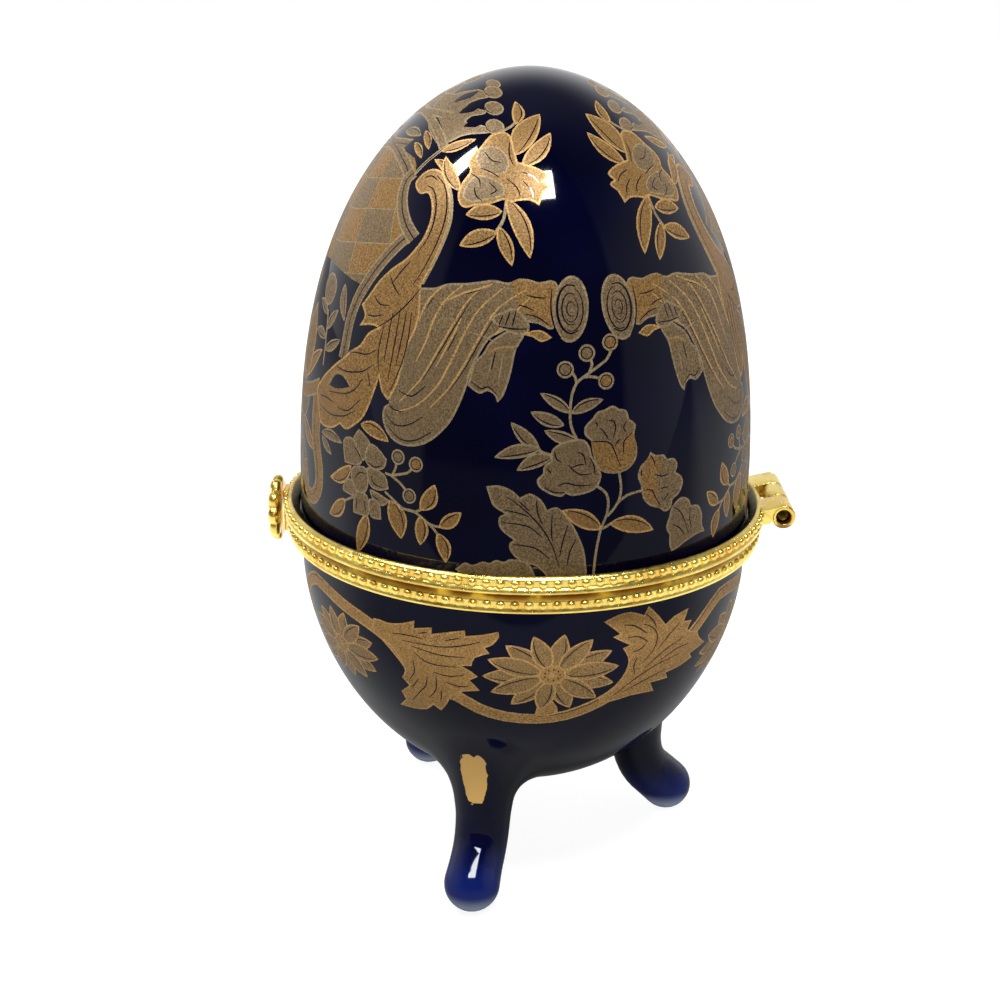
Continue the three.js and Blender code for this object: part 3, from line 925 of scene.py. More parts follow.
def top_roses(chart):
    """The rose cluster and its leaves near the lid's crown."""
    stem(chart, [(-6.0, 55.0), (-4.9, 55.8), (-4.2, 56.6)])
    leaf(chart, (-4.3, 56.2), (-3.85, 60.2), 1.55, WARM, -0.35, -1)
    leaf(chart, (-4.9, 51.6), (-1.25, 57.95), 2.9, WARM, 0.25, -1)
    leaf(chart, (-4.2, 50.1), (-0.35, 54.95), 2.1, WARM, -0.35, -1)
    stem(chart, [(-6.3, 45.9), (-6.8, 43.5), (-7.8, 41.9)], 0.36)
    leaf(chart, (-6.3, 46.0), (-4.05, 38.9), 2.3, WARM, 0.45, 1)
    leaf(chart, (-6.9, 44.4), (-11.3, 43.75), 2.0, WARM, -0.15, 1)
    leaf(chart, (-7.7, 41.9), (-12.25, 40.05), 2.0, WARM, -0.1, 1)
    leaf(chart, (-7.5, 42.6), (-6.15, 38.0), 1.75, WARM, 0.1, 1)
    leaf(chart, (-11.8, 46.6), (-13.6, 51.0), 2.0, WARM, 0.5, 1)
    body = [
        (-8.0, 53.8), (-7.3, 54.5), (-6.0, 54.95), (-5.1, 54.4), (-4.8, 52.4), (-4.6, 50.7, 1),
        (-2.7, 50.1), (-1.3, 49.1), (-1.9, 48.2, 1), (-1.2, 47.6), (-2.0, 46.8, 1), (-2.6, 45.2, 1),
        (-3.6, 45.8), (-4.8, 45.75), (-5.6, 45.6), (-6.6, 45.8), (-8.0, 45.3), (-9.2, 45.0),
        (-10.2, 44.9, 1), (-11.2, 44.6), (-11.9, 44.9), (-12.2, 46.0), (-11.9, 47.0, 1), (-11.4, 47.9),
        (-10.9, 48.5, 1), (-10.4, 49.3), (-10.6, 50.3), (-9.9, 51.6), (-8.9, 52.6),
    ]
    whole = shape(chart, body, WARM)
    for petal in (
        [
            (-9.6, 50.8), (-9.2, 52.0), (-7.8, 52.8), (-6.4, 52.4), (-5.6, 51.0), (-6.0, 49.4),
            (-7.6, 48.9), (-9.0, 49.6),
        ],
        [
            (-11.6, 46.0), (-10.8, 47.8), (-9.4, 48.8), (-7.6, 48.4), (-6.4, 47.4), (-6.8, 46.2),
            (-8.8, 45.7), (-10.4, 45.3),
        ],
    ):
        shape(chart, petal, GREY, 0.2, 2, within=whole)
    strokes(chart, (
        [(-9.0, 49.7), (-7.8, 49.2), (-6.9, 48.6)], [(-6.1, 48.5), (-5.0, 47.4), (-4.7, 46.3)],
        [(-10.0, 47.2), (-9.9, 46.2), (-9.2, 45.6)], [(-10.3, 48.9), (-9.4, 48.3), (-9.3, 47.4)],
        [(-8.4, 51.9), (-7.6, 50.8), (-6.6, 50.6)], [(-5.3, 53.4), (-5.5, 51.8), (-5.2, 50.4)],
        [(-4.2, 49.4), (-3.1, 48.9), (-2.4, 48.0)], [(-8.2, 47.9), (-7.4, 47.0), (-8.2, 46.4)],
        [(-4.2, 48.2), (-3.4, 47.2), (-3.2, 46.2)],
    ), whole)


def scroll_and_leaf(chart):
    """The tall scroll that runs down into a lobed leaf and ends in a hook."""
    hook = smooth_path([
        (-11.0, 20.0), (-11.2, 16.8), (-11.3, 14.2), (-10.8, 12.0), (-10.1, 10.0), (-10.0, 8.0),
        (-10.9, 6.2), (-12.6, 5.2), (-14.6, 5.4), (-15.9, 6.8), (-15.6, 8.4), (-14.4, 8.9),
    ], False, 3)
    whole = band(chart, hook, lambda t: between(3.1, 1.5, t), 0.5, WARM)
    stroke(chart, [p + Vector((-0.45, 0)) for p in hook[1:28:3]], 0.2, GLAZE, whole)
    trail = smooth_path([(-10.6, 20.2), (-13.2, 19.2), (-16.0, 18.4), (-18.4, 18.2)], False, 3)
    band(chart, trail, lambda t: 1.9, 0.5, WARM)
    body = [
        (0.2, 46.4), (-0.25, 47.1), (0.0, 48.0), (0.7, 48.85), (1.8, 49.15), (3.2, 48.7), (4.55, 47.1),
        (5.8, 45.2), (6.6, 42.7), (6.6, 40.2), (6.1, 37.4), (5.3, 34.9, 1), (5.9, 32.1), (5.8, 29.9),
        (5.1, 27.9), (4.8, 26.0), (4.3, 23.2), (3.2, 21.2, 1), (2.1, 22.1), (1.5, 23.6, 1), (0.7, 21.0),
        (-0.4, 18.6), (-2.1, 17.1), (-3.6, 16.3), (-4.9, 16.7, 1), (-6.8, 15.7), (-9.6, 15.6),
        (-10.6, 17.4), (-11.4, 19.6), (-10.4, 20.9), (-9.1, 22.1), (-6.8, 23.8), (-4.9, 25.1), (-3.8, 26.0),
        (-2.3, 26.9), (-1.2, 28.5), (0.3, 29.4, 1), (-0.9, 29.5), (-2.95, 29.1, 1), (-2.3, 30.2),
        (-2.45, 30.8, 1), (-3.2, 31.6, 1), (-2.2, 32.9), (-1.0, 34.8), (0.7, 36.6), (2.3, 37.9),
        (3.4, 39.6), (3.9, 41.0), (3.95, 42.9), (3.4, 44.6), (2.3, 45.95), (1.2, 45.75),
    ]
    whole = shape(chart, body, WARM, 0.26)
    strokes(chart, (
        [(1.8, 46.9), (2.9, 46.4), (4.0, 44.7), (4.55, 42.4), (4.4, 40.4), (3.7, 38.8)],
        [(2.4, 48.3), (3.9, 47.3), (5.2, 45.3), (5.9, 42.8), (5.8, 39.9), (5.1, 37.0), (4.2, 35.0)],
        [(5.35, 34.7), (4.0, 32.7), (2.05, 30.7), (0.3, 29.5)], [(3.2, 32.1), (3.2, 28.2), (2.9, 23.6)],
        [(4.8, 31.8), (5.0, 28.8), (4.55, 25.6), (3.4, 22.4)], [(1.2, 29.9), (0.9, 26.8), (1.3, 24.4)],
        [(-4.0, 25.7), (-2.6, 25.9), (-0.9, 26.0), (0.6, 26.8)],
        [(-6.6, 23.5), (-4.3, 23.3), (-1.3, 23.9), (0.3, 25.0)],
        [(-7.9, 20.1), (-4.3, 20.6), (-2.4, 21.5), (-1.2, 23.0)],
        [(-10.3, 19.1), (-8.4, 19.2), (-6.6, 19.0)],
        [(-10.2, 17.9), (-7.1, 17.4), (-4.05, 17.9), (-2.0, 19.0)], [(0.6, 35.6), (1.6, 34.4), (2.6, 33.6)],
        [(-1.2, 32.9), (0.0, 32.1), (1.4, 32.2)], [(-1.8, 30.6), (-0.6, 30.6), (0.6, 31.0)],
        [(2.2, 31.4), (2.1, 28.4), (2.0, 25.6)], [(4.1, 31.9), (4.1, 29.0), (3.8, 25.4)],
        [(-0.4, 24.0), (0.2, 22.4)], [(-5.6, 18.6), (-3.4, 18.7), (-1.4, 20.4)],
        [(3.0, 37.6), (2.0, 36.2), (1.2, 34.8)], [(0.9, 47.9), (1.7, 48.2), (2.7, 47.8)],
    ), whole, 0.19)
    stroke(chart, [
        (3.2, 48.75), (4.6, 47.2), (5.85, 45.2), (6.62, 42.7), (6.62, 40.2), (6.15, 37.4), (5.5, 35.2),
    ], 0.42, LINE)
    chart.area(smooth_path([
        (-7.9, 20.9, 1), (-6.6, 22.4), (-4.9, 22.55), (-3.4, 21.6, 1), (-4.9, 21.1), (-6.4, 20.8),
    ], True, 3), GLAZE)
    stroke(chart, [(-8.4, 20.7), (-6.9, 22.6), (-4.9, 22.8), (-3.3, 21.7)], 0.22, LINE)


def lower_spray(chart):
    """A rose with leaves and berries, low beside the scroll's hook."""
    leaf(chart, (-0.9, 17.6), (3.75, 16.3), 1.9, WARM, 0.35, 1)
    leaf(chart, (-2.3, 12.1), (-6.8, 9.5), 1.9, WARM, 0.6, 1)
    stem(chart, [(-1.9, 8.2), (-3.0, 7.6), (-3.8, 7.2)])
    leaf(chart, (-3.5, 7.5), (-7.1, 4.6), 2.0, WARM, 0.35, 1)
    leaf(chart, (0.6, 6.6), (-1.2, 1.2), 2.2, WARM, 0.1, 1)
    leaf(chart, (-9.3, 14.6), (-4.2, 14.4), 1.4, GREY, 0.35, 1)
    leaf(chart, (-9.2, 14.2), (-6.6, 12.4), 1.2, GREY, -0.1, 1)
    stem(chart, [(3.4, 12.4), (4.4, 12.3), (5.4, 12.6), (6.6, 13.0), (7.4, 13.8)])
    stem(chart, [(4.5, 12.4), (4.9, 13.2), (5.0, 13.9)])
    stem(chart, [(4.4, 12.2), (5.6, 11.6), (6.5, 10.8)])
    for x, y, fill in ((5.2, 14.7, GREY), (7.7, 14.2, WARM), (6.95, 10.2, GREY)):
        berry(chart, x, y, 0.95, fill)
    stem(chart, [(3.4, 10.1), (4.6, 9.4), (6.1, 8.5), (7.6, 8.4), (9.0, 7.6), (10.1, 6.8), (10.9, 5.9)])
    stem(chart, [(6.8, 8.4), (7.8, 8.4), (8.6, 8.8)])
    stem(chart, [(9.6, 7.2), (10.4, 7.0), (11.1, 7.0)])
    leaf(chart, (8.5, 8.7), (10.3, 12.1), 2.1, WARM, -0.35, -1)
    leaf(chart, (4.2, 9.2), (5.9, 4.6), 2.7, WARM, 0.35, 1)
    leaf(chart, (8.5, 8.0), (8.5, 4.3), 1.85, WARM, 0.2, 1)
    leaf(chart, (11.0, 6.9), (13.7, 9.1), 1.75, WARM, -0.1, 1)
    leaf(chart, (10.8, 6.2), (11.9, 2.6), 1.85, WARM, 0.3, 1)
    petals = (
        [(-1.2, 16.9, 1), (-0.4, 16.6), (0.9, 15.6), (0.6, 14.2), (-0.4, 13.0), (-1.8, 13.6), (-2.3, 15.2)],
        [(-4.0, 14.9), (-2.4, 15.6), (-0.9, 14.4), (-0.4, 12.9), (-1.6, 12.3), (-3.6, 12.2, 1)],
        [(0.1, 14.3), (0.8, 15.5), (2.1, 15.3), (3.6, 14.1, 1), (3.2, 12.9), (1.6, 12.4), (0.3, 13.1)],
        [(0.4, 12.4), (2.0, 12.6), (3.5, 12.0), (4.0, 10.5, 1), (2.4, 10.0), (1.0, 10.4)],
        [(1.0, 9.8), (2.4, 9.7), (4.2, 9.1, 1), (3.2, 8.2), (1.8, 8.4)],
        [(0.9, 8.6), (2.6, 8.4), (2.9, 6.4, 1), (1.2, 6.4)],
        [(-1.6, 9.0), (0.6, 9.0), (0.9, 6.6), (-0.3, 6.2), (-1.9, 6.2, 1)],
        [(-3.9, 9.2), (-2.6, 10.4), (-1.2, 9.6), (-1.6, 8.3), (-3.9, 8.5, 1)],
        [(-2.2, 11.8), (-1.0, 12.4), (0.4, 12.3), (0.8, 10.6), (0.2, 9.2), (-1.2, 9.1), (-2.3, 10.4)],
    )
    for petal in petals:
        shape(chart, petal, GREY, 0.2, 3)
    strokes(chart, (
        [(-2.0, 14.6), (-1.0, 13.9), (-0.4, 13.0)], [(0.6, 13.2), (1.7, 12.8), (2.9, 13.2)],
        [(-1.7, 10.6), (-0.7, 11.6), (0.3, 11.6)], [(1.2, 11.6), (1.7, 10.7), (3.0, 10.5)],
        [(-1.2, 8.2), (-1.3, 6.9)], [(1.4, 9.2), (2.4, 8.8)], [(0.1, 8.2), (0.3, 7.0)],
    ))


def cartouche_side(chart):
    """Half of the cartouche: its frame, the sprig beside it, and the crown's points."""
    lower_band = smooth_path([
        (1.6, 40.5), (0.5, 39.4), (-1.2, 37.2), (-2.9, 34.6), (-4.3, 31.9), (-5.0, 29.2), (-5.2, 26.4),
        (-5.5, 24.6),
    ], False, 3)
    upper_band = smooth_path([
        (-1.2, 48.4), (-1.9, 47.2), (-1.5, 45.2), (-0.4, 43.2), (1.0, 41.6), (2.6, 40.3),
    ], False, 3)
    arch = smooth_path([
        (-15.0, 51.9), (-10.7, 51.6), (-7.7, 51.2), (-4.9, 50.0), (-3.0, 48.9), (-1.3, 47.4),
    ], False, 3)
    for path, width in ((arch, 1.7), (lower_band, 1.75), (upper_band, 1.75)):
        band(chart, path, lambda t: width, 0.45, GREY)
        chart.area(ribbon(path, lambda t: 0.16), GLAZE)
    outer = smooth_path([
        (-14.6, 57.0), (-9.5, 57.2), (-5.4, 56.6), (-2.4, 55.2), (-0.2, 53.6), (1.2, 52.2),
    ], False, 3)
    band(chart, outer, lambda t: 1.2, 0.4, GREY)
    stem(chart, [(-1.0, 48.2), (-0.3, 49.6), (0.6, 51.0), (1.8, 52.6)], 0.5)
    stroke(chart, [(-0.9, 48.6), (0.2, 50.4), (1.5, 52.2)], 0.16)
    leaf(chart, (1.2, 51.6), (4.9, 53.7), 1.6, WARM, -0.1, -1)
    leaf(chart, (0.9, 50.4), (5.8, 46.8), 1.4, WARM, 0.7, 1)
    leaf(chart, (-4.0, 52.3), (-1.2, 50.3), 1.1, WARM, 0.2, 1)
    leaf(chart, (-3.4, 54.2), (-0.8, 51.6), 1.2, WARM, 0.2, 1)
    leaf(chart, (-8.2, 53.6), (-3.6, 53.4), 1.5, GREY, 0.3, 1)
    leaf(chart, (-7.6, 33.4), (-6.2, 29.0), 1.6, GREY, -0.3, 1)
    stem(chart, [(-10.2, 22.8), (-10.2, 25.4), (-10.4, 27.2), (-10.9, 29.6)])
    leaf(chart, (-10.2, 24.8), (-6.5, 26.7), 1.4, GREY, -0.1, 1)
    leaf(chart, (-10.5, 27.2), (-8.0, 30.1), 1.4, GREY, 0.1, 1)
    leaf(chart, (-10.3, 26.2), (-14.0, 26.6), 1.5, GREY, -0.2, 1)
    leaf(chart, (-10.8, 29.0), (-14.2, 30.4), 1.4, GREY, -0.2, 1)
    rose = [
        (-11.6, 34.0), (-10.2, 33.4), (-9.6, 32.0), (-10.2, 30.6), (-11.6, 30.0), (-13.0, 30.8),
        (-13.6, 32.4), (-12.8, 33.6),
    ]
    petals = [[(-12.6, 32.6), (-11.6, 31.6), (-10.4, 31.8)], [(-11.8, 33.2), (-11.0, 32.6)]]
    shape(chart, rose, GREY, lines=petals)


def crown_points(chart):
    """Ball-topped points that rise from the crown's band."""
    crown = [
        (-16.5, 60.4), (-13.2, 60.8), (-8.6, 62.3), (-6.9, 60.9), (-8.6, 60.2), (-10.4, 59.0), (-9.2, 58.6),
        (-7.6, 58.2), (-8.3, 57.5), (-9.6, 57.2), (-10.6, 56.2), (-9.4, 56.0), (-7.8, 55.6), (-7.6, 54.7),
        (-9.6, 54.4), (-11.4, 53.9), (-14.2, 52.4), (-15.8, 53.4), (-17.4, 56.0),
    ]
    shape(chart, crown, GREY, 0.2, 2)
    for x, y, radius in ((-6.4, 63.7, 1.15), (-6.5, 61.9, 1.3), (-6.65, 58.8, 1.25), (-6.85, 55.7, 1.2)):
        disc(chart, x, y, radius, LINE, 20)
        disc(chart, x, y, radius * 0.82, GREY, 18)
        stroke(chart, [
            (x - radius * 0.95, y + 0.3), (x - radius * 0.8, y - 0.5), (x - radius * 0.3, y - 0.9),
        ], 0.14)
    for gap in (
        [(-13.0, 59.1, 1), (-11.2, 60.9), (-8.5, 62.0, 1), (-9.9, 60.4)],
        [(-11.7, 57.4, 1), (-10.3, 58.9), (-8.0, 59.5, 1), (-9.4, 58.0)],
        [(-11.0, 55.4, 1), (-9.9, 56.4), (-8.0, 56.6, 1), (-9.2, 55.5)],
    ):
        chart.area(smooth_path(gap, True, 3), GLAZE)
    arc = smooth_path([(-21.3, 57.2), (-16.6, 56.8), (-14.7, 55.0), (-13.9, 52.8)], False, 4)
    chart.area(ribbon(arc, lambda t: 1.0 - 0.5 * t), GLAZE)


def lozenge_panel(chart):
    """The cartouche's field of lozenges in two golds."""
    edge = [
        (0, 51.4), (4.0, 51.1), (8.4, 50.2), (10.6, 48.0), (11.0, 45.0), (12.6, 42.6), (15.0, 40.4),
        (13.6, 38.0), (12.0, 35.2), (10.8, 33.9), (6.0, 34.6), (0, 35.2),
    ]
    outline = edge + [(-x, y) for x, y in edge[-2:0:-1]]
    whole = chart.area(smooth_path(outline, True, 2), GREY)
    columns = (-3, -2, -1, 0, 1, 2)
    rows = (31.0, 34.3, 38.2, 42.6, 46.8, 51.0, 55.0)

    def corner(column, y):
        spread = 5.1 + (44.5 - y) * 0.24
        return column * spread, y + 0.12 * abs(column * spread) - 0.5

    for column in columns:
        for k, (low, high) in enumerate(zip(rows, rows[1:])):
            if (column + k) % 2 == 0:
                ends = (column, low), (column + 1, low), (column + 1, high), (column, high)
                corners = [Vector(corner(*end)) for end in ends]
                sides = zip(corners, corners[1:] + corners[:1])
                cell = [a.lerp(b, s / 3) for a, b in sides for s in range(3)]
                chart.area(cell, WARM, whole)
    for column in (-2, -1, 0, 1, 2):
        stroke(chart, [corner(column, y) for y in (32.0, 38.0, 44.0, 52.0)], 0.12, LINE, whole, taper=False)
    for row in rows:
        stroke(chart, [corner(c, row) for c in (-3, -2, -1, 0, 1, 2, 3)], 0.12, LINE, whole, taper=False)


def foot_of_cartouche(chart):
    """Leaves and a rose under the cartouche, on its middle line."""
    for side in (1, -1):
        leaf(chart, (0.4 * side, 20.0), (5.6 * side, 24.6), 2.0, WARM, 0.3 * side, side)
        leaf(chart, (0.4 * side, 15.0), (6.0 * side, 11.6), 2.1, WARM, -0.3 * side, side)
        leaf(chart, (0.3 * side, 12.0), (3.6 * side, 6.4), 1.9, GREY, -0.3 * side, side)
    shape(
        chart, [(0, 29.6, 1), (2.4, 26.0), (2.0, 22.0), (0, 19.4, 1), (-2.0, 22.0), (-2.4, 26.0)], WARM,
        lines=[
            [(0, 28.4), (0.1, 24.6), (0, 20.6)], [(1.0, 26.8), (1.0, 23.6), (0.5, 21.4)],
            [(-1.0, 26.8), (-1.0, 23.6), (-0.5, 21.4)],
        ],
    )
    rose = [
        (0, 19.2), (1.6, 19.4), (2.8, 18.0), (2.4, 16.4), (1.4, 15.0), (0, 14.6), (-1.4, 15.0),
        (-2.4, 16.4), (-2.8, 18.0), (-1.6, 19.4),
    ]
    petals = [[(-1.8, 17.6), (-0.6, 16.6), (0.9, 16.9), (1.7, 18.0)], [(-0.8, 18.6), (0.3, 17.6)]]
    shape(chart, rose, GREY, lines=petals)


def crown_middle(chart):
    """The crown's middle point over the cartouche."""
    shape(chart, [(0, 63.6), (1.3, 62.0), (2.2, 59.0), (0, 57.6), (-2.2, 59.0), (-1.3, 62.0)], GREY, 0.2, 2)
    disc(chart, 0, 64.4, 1.4, LINE, 20)
    disc(chart, 0, 64.4, 1.15, GREY, 18)


def lid_print(curve):
    """The lid's print: two crests, and between them motifs that mirror each other."""
    sheet = []
    across = 2 * math.radians(17.0)
    twice = ((1, 0.0), (1, math.pi))
    four = ((1, 0.0), (-1, across), (1, math.pi), (-1, across + math.pi))
    panel = Chart(curve, -73.0, sheet).repeat(*twice)
    right = Chart(curve, 10.0, sheet).repeat(*four)
    left = Chart(curve, -40.0, sheet).repeat(*four)
    side = Chart(curve, 10.0, sheet).repeat(*twice)
    lozenge_panel(panel)
    foot_of_cartouche(panel)
    crown_middle(panel)
    crown_points(right)
    cartouche_side(left)
    drapery(right)
    scroll_and_leaf(left)
    top_roses(right)
    lower_spray(left)
    side_bouquet(side)
    return sheet


def daisy(chart, x, y, wide, tall):
    """A fourteen-petalled daisy with a stippled eye."""
    petals = 14
    centre = Vector((x, y))
    for order in (0, 1):
        for i in range(order, petals, 2):
            a = math.tau * (i + 0.35) / petals
            tip = centre + Vector((wide * math.sin(a), tall * math.cos(a)))
            base = centre.lerp(tip, 0.14)
            reach = (tip - base).length
            leaf(chart, base, tip, 2.35 + 0.05 * reach, GREY, 0.0, 1 if i % 3 else -1, BRIGHT)
    disc(chart, x, y, 1.7, BRIGHT, 22, 0.86)
    disc(chart, x, y, 1.5, WARM, 22, 0.86)
    for i in range(9):
        a = math.tau * i / 9
        disc(chart, x + 0.95 * math.cos(a), y + 0.8 * math.sin(a), 0.12, GLAZE, 6)
    disc(chart, x, y, 0.35, BRIGHT, 10)


def wave(chart):
    """One wave of the running scroll round the bowl, with its leaves and two daisies."""
    stem_path = smooth_path([
        (-31.6, -0.2), (-28.0, -0.9), (-24.0, -1.7), (-20.6, -2.9), (-18.0, -5.2), (-15.8, -7.6),
        (-13.0, -9.4), (-10.4, -9.9), (-7.6, -11.6), (-4.2, -12.75), (-0.1, -13.1), (3.4, -12.65),
        (6.4, -11.5), (8.8, -10.2), (10.8, -8.6), (13.2, -6.6), (16.2, -5.2), (19.0, -4.4), (21.2, -3.6),
        (24.0, -1.6), (27.4, 0.1), (31.6, -0.2),
    ], False, 2)
    band(chart, stem_path, lambda t: 1.85, 0.45, WARM, BRIGHT)
    chart.area(ribbon([p + Vector((0, 0.5)) for p in stem_path[20:42]], lambda t: 0.14), GLAZE)
    falling = [
        (-22.4, -0.9), (-20.1, -0.9), (-17.9, -0.4), (-16.1, 0.35, 1), (-16.2, -0.7, 1), (-13.7, -0.1, 1),
        (-13.8, -1.0, 1), (-11.7, -0.4), (-9.5, 0.15, 1), (-9.4, -0.6, 1), (-7.3, -0.2), (-5.4, 0.35, 1),
        (-5.3, -0.4), (-6.1, -1.5), (-7.0, -1.95, 1), (-6.4, -2.7, 1), (-8.2, -3.5), (-8.6, -4.75, 1),
        (-9.9, -4.9, 1), (-8.6, -5.6), (-7.8, -6.3, 1), (-8.8, -6.95, 1), (-7.5, -8.5, 1), (-8.9, -8.8),
        (-9.8, -9.1), (-11.2, -10.1, 1), (-11.7, -11.6), (-12.5, -13.1, 1), (-13.6, -12.3, 1),
        (-14.5, -13.5), (-16.4, -14.05), (-18.6, -14.15, 1), (-17.6, -12.6, 1), (-18.3, -11.3, 1),
        (-17.0, -9.8, 1), (-18.1, -8.7, 1), (-17.6, -7.4), (-18.25, -6.0), (-19.2, -4.6), (-20.6, -3.7),
        (-22.4, -3.0),
    ]
    falling_veins = [
        [(-19.4, -2.2), (-17.4, -1.9), (-15.1, -1.9)],
        [(-17.9, -2.8), (-12.6, -2.6), (-9.5, -1.9), (-7.6, -1.2)],
        [(-16.6, -3.3), (-12.6, -3.8), (-9.4, -3.6)],
        [(-16.2, -4.1), (-14.8, -5.1), (-12.9, -5.4), (-10.6, -5.2)],
        [(-13.6, -6.6), (-11.4, -6.8), (-9.6, -6.3)],
        [(-14.4, -7.4), (-14.6, -9.1), (-15.3, -10.2), (-16.6, -12.4)],
        [(-13.2, -7.2), (-13.2, -9.4), (-14.2, -11.2)], [(-16.4, -5.4), (-16.2, -7.2), (-16.9, -8.6)],
        [(-12.0, -7.8), (-10.2, -8.2), (-9.0, -8.0)], [(-12.0, -1.6), (-10.2, -1.0)],
        [(-15.6, -1.3), (-14.4, -0.9)], [(-12.4, -9.2), (-12.5, -11.2)], [(-15.6, -8.2), (-16.6, -10.0)],
    ]
    shape(chart, falling, WARM, 0.22, 2, falling_veins)
    rising = [
        (8.6, -11.2), (12.1, -10.8), (15.7, -11.2, 1), (14.9, -9.4, 1), (17.8, -9.6, 1), (17.4, -8.5, 1),
        (19.9, -8.3), (22.2, -7.7, 1), (21.6, -6.9, 1), (24.8, -6.2, 1), (23.2, -4.8), (22.6, -3.6, 1),
        (21.4, -3.2), (20.4, -2.6), (21.1, -1.5, 1), (19.6, -1.2, 1), (20.3, 0.4, 1), (17.8, 0.0),
        (16.4, -0.8, 1), (15.2, 0.7), (13.6, 2.3, 1), (13.0, 1.2, 1), (11.1, 2.0), (9.25, 1.85),
        (7.5, 1.2, 1), (8.6, 0.3), (9.7, -0.7, 1), (8.8, -1.0, 1), (10.0, -1.8), (11.2, -2.5, 1),
        (10.2, -2.8, 1), (11.0, -4.2), (11.1, -5.6), (10.4, -7.3), (9.0, -9.0), (7.4, -10.2),
    ]
    rising_veins = [
        [(9.4, -10.2), (12.0, -8.2), (15.4, -6.6), (19.4, -6.0)],
        [(10.6, -9.8), (14.0, -8.6), (17.2, -7.8)], [(13.6, -6.6), (16.6, -4.6), (19.6, -3.6)],
        [(13.2, -5.6), (14.8, -4.0), (15.2, -2.0), (14.2, -0.6), (13.0, 0.0)],
        [(15.4, -4.2), (17.2, -2.4), (18.8, -1.2)], [(11.6, -3.6), (12.8, -3.4), (13.4, -2.8)],
        [(10.2, 0.4), (11.8, 0.0), (13.6, -1.4)], [(12.2, -7.2), (12.0, -5.6), (12.4, -4.6)],
        [(16.0, -6.0), (18.8, -5.0), (21.0, -5.0)], [(10.8, -1.4), (12.4, -1.6), (13.8, -2.6)],
        [(13.2, 1.4), (14.4, 0.2), (15.0, -1.0)],
    ]
    shape(chart, rising, WARM, 0.22, 2, rising_veins)
    shape(chart, [(0.4, -9.6), (1.6, -10.0), (2.3, -12.2), (-0.6, -12.4)], WARM, 0.18, 2)
    daisy(chart, 1.3, -5.7, 8.6, 5.8)
    daisy(chart, -29.4, -7.4, 7.6, 5.4)


def bowl_print(curve):
    """The bowl's print: the same wave of scroll three times round it."""
    sheet = []
    third = math.tau / 3
    chart = Chart(curve, 5.0, sheet).repeat((1, 0.0), (1, third), (1, 2 * third))
    wave(chart)
    return sheet


# ---------------------------------------------------------------- porcelain operators

# Steps round each half's edge, and round each leg.
AROUND = 240
LEG_AROUND = 40


class EGGBOX_OT_lid_shell(bpy.types.Operator):
    """Make the porcelain lid with its gold print"""

    bl_idname = "eggbox.lid_shell"
    bl_label = "Porcelain Lid"

    def execute(self, context):
        step = context.scene.egg_porcelain.mesh_step / MM
        curve = DomeCurve(LID_DOME, LID_EDGE)
        skin = printed_skin(curve, lid_print(curve), step, AROUND)
        clay = Clay()
        clay.points, clay.normals, clay.faces, clay.inks, rim, _ = skin
        add_inner_wall(clay, LID_DOME, LID_EDGE, rim, AROUND)
        piece = clay.object("lid_porcelain", porcelain_materials("warm", "grey"))
        finish_piece(piece, "lid", "lid_shell")
        return {"FINISHED"}


def leg_hole(curve, angle, count):
    """The outline, on the bowl, where a leg grows out of it; it starts on the outer side."""
    turn = math.radians(angle)
    outline = []
    for i in range(count):
        a = math.tau * i / count
        y = LEG_ROOT["along"] + LEG_ROOT["half_height"] * math.cos(a)
        radius, _ = curve.at(y)
        outline.append(curve.flat(turn + LEG_ROOT["half_width"] * math.sin(a) / radius, y))
    return outline


def spline(points, t):
    """A smooth curve through the points; t runs from 0 to the last point's number."""
    i = min(int(t), len(points) - 2)
    near = [points[min(max(i + k, 0), len(points) - 1)] for k in (-1, 0, 1, 2)]
    return [eased(*values, t - i) for values in zip(*near)]


def leg_rings(angle, count):
    """Rings from the foot's tip up to the leg's top station, as (point, side, up) for each corner."""
    turn = math.radians(angle)
    out_way = Vector((math.cos(turn), math.sin(turn), 0))
    side_way = Vector((-math.sin(turn), math.cos(turn), 0))
    up_way = Vector((0, 0, 1))
    path = [(FOOT["out"], FOOT["up"], FOOT["radius"], FOOT["radius"]), *LEG_STATIONS]
    first_tilt = math.atan2(path[0][0] - path[1][0], path[1][1] - path[0][1])

    def ring(out, up, depth, width, tilt):
        row = []
        for i in range(count):
            a = math.tau * i / count
            ahead = depth * math.cos(a)
            place = out_way * (out + ahead * math.cos(tilt)) + side_way * (width * math.sin(a))
            place += up_way * (up + ahead * math.sin(tilt))
            place.z = place.z / 2 + math.sqrt(place.z * place.z / 4 + SOLE_BEND)
            row.append((place, min(a, math.tau - a) * width, place.z))
        return row

    rings = []
    steps = 9
    for i in range(1, steps):
        a = (i / steps) * math.pi / 2
        shrink, ahead = FOOT["radius"] * math.sin(a), FOOT["radius"] * math.cos(a)
        out = FOOT["out"] + ahead * math.sin(first_tilt)
        rings.append(ring(out, FOOT["up"] - ahead * math.cos(first_tilt), shrink, shrink, first_tilt))
    fine = 3
    for i in range((len(path) - 1) * fine + 1):
        t = i / fine
        here = spline(path, t)
        ahead, behind = spline(path, min(t + 0.05, len(path) - 1)), spline(path, max(t - 0.05, 0))
        tilt = math.atan2(behind[0] - ahead[0], ahead[1] - behind[1])
        rings.append(ring(*here, tilt))
    tip = out_way * (FOOT["out"] + FOOT["radius"] * math.sin(first_tilt))
    tip += up_way * (FOOT["up"] - FOOT["radius"] * math.cos(first_tilt))
    return tip, rings


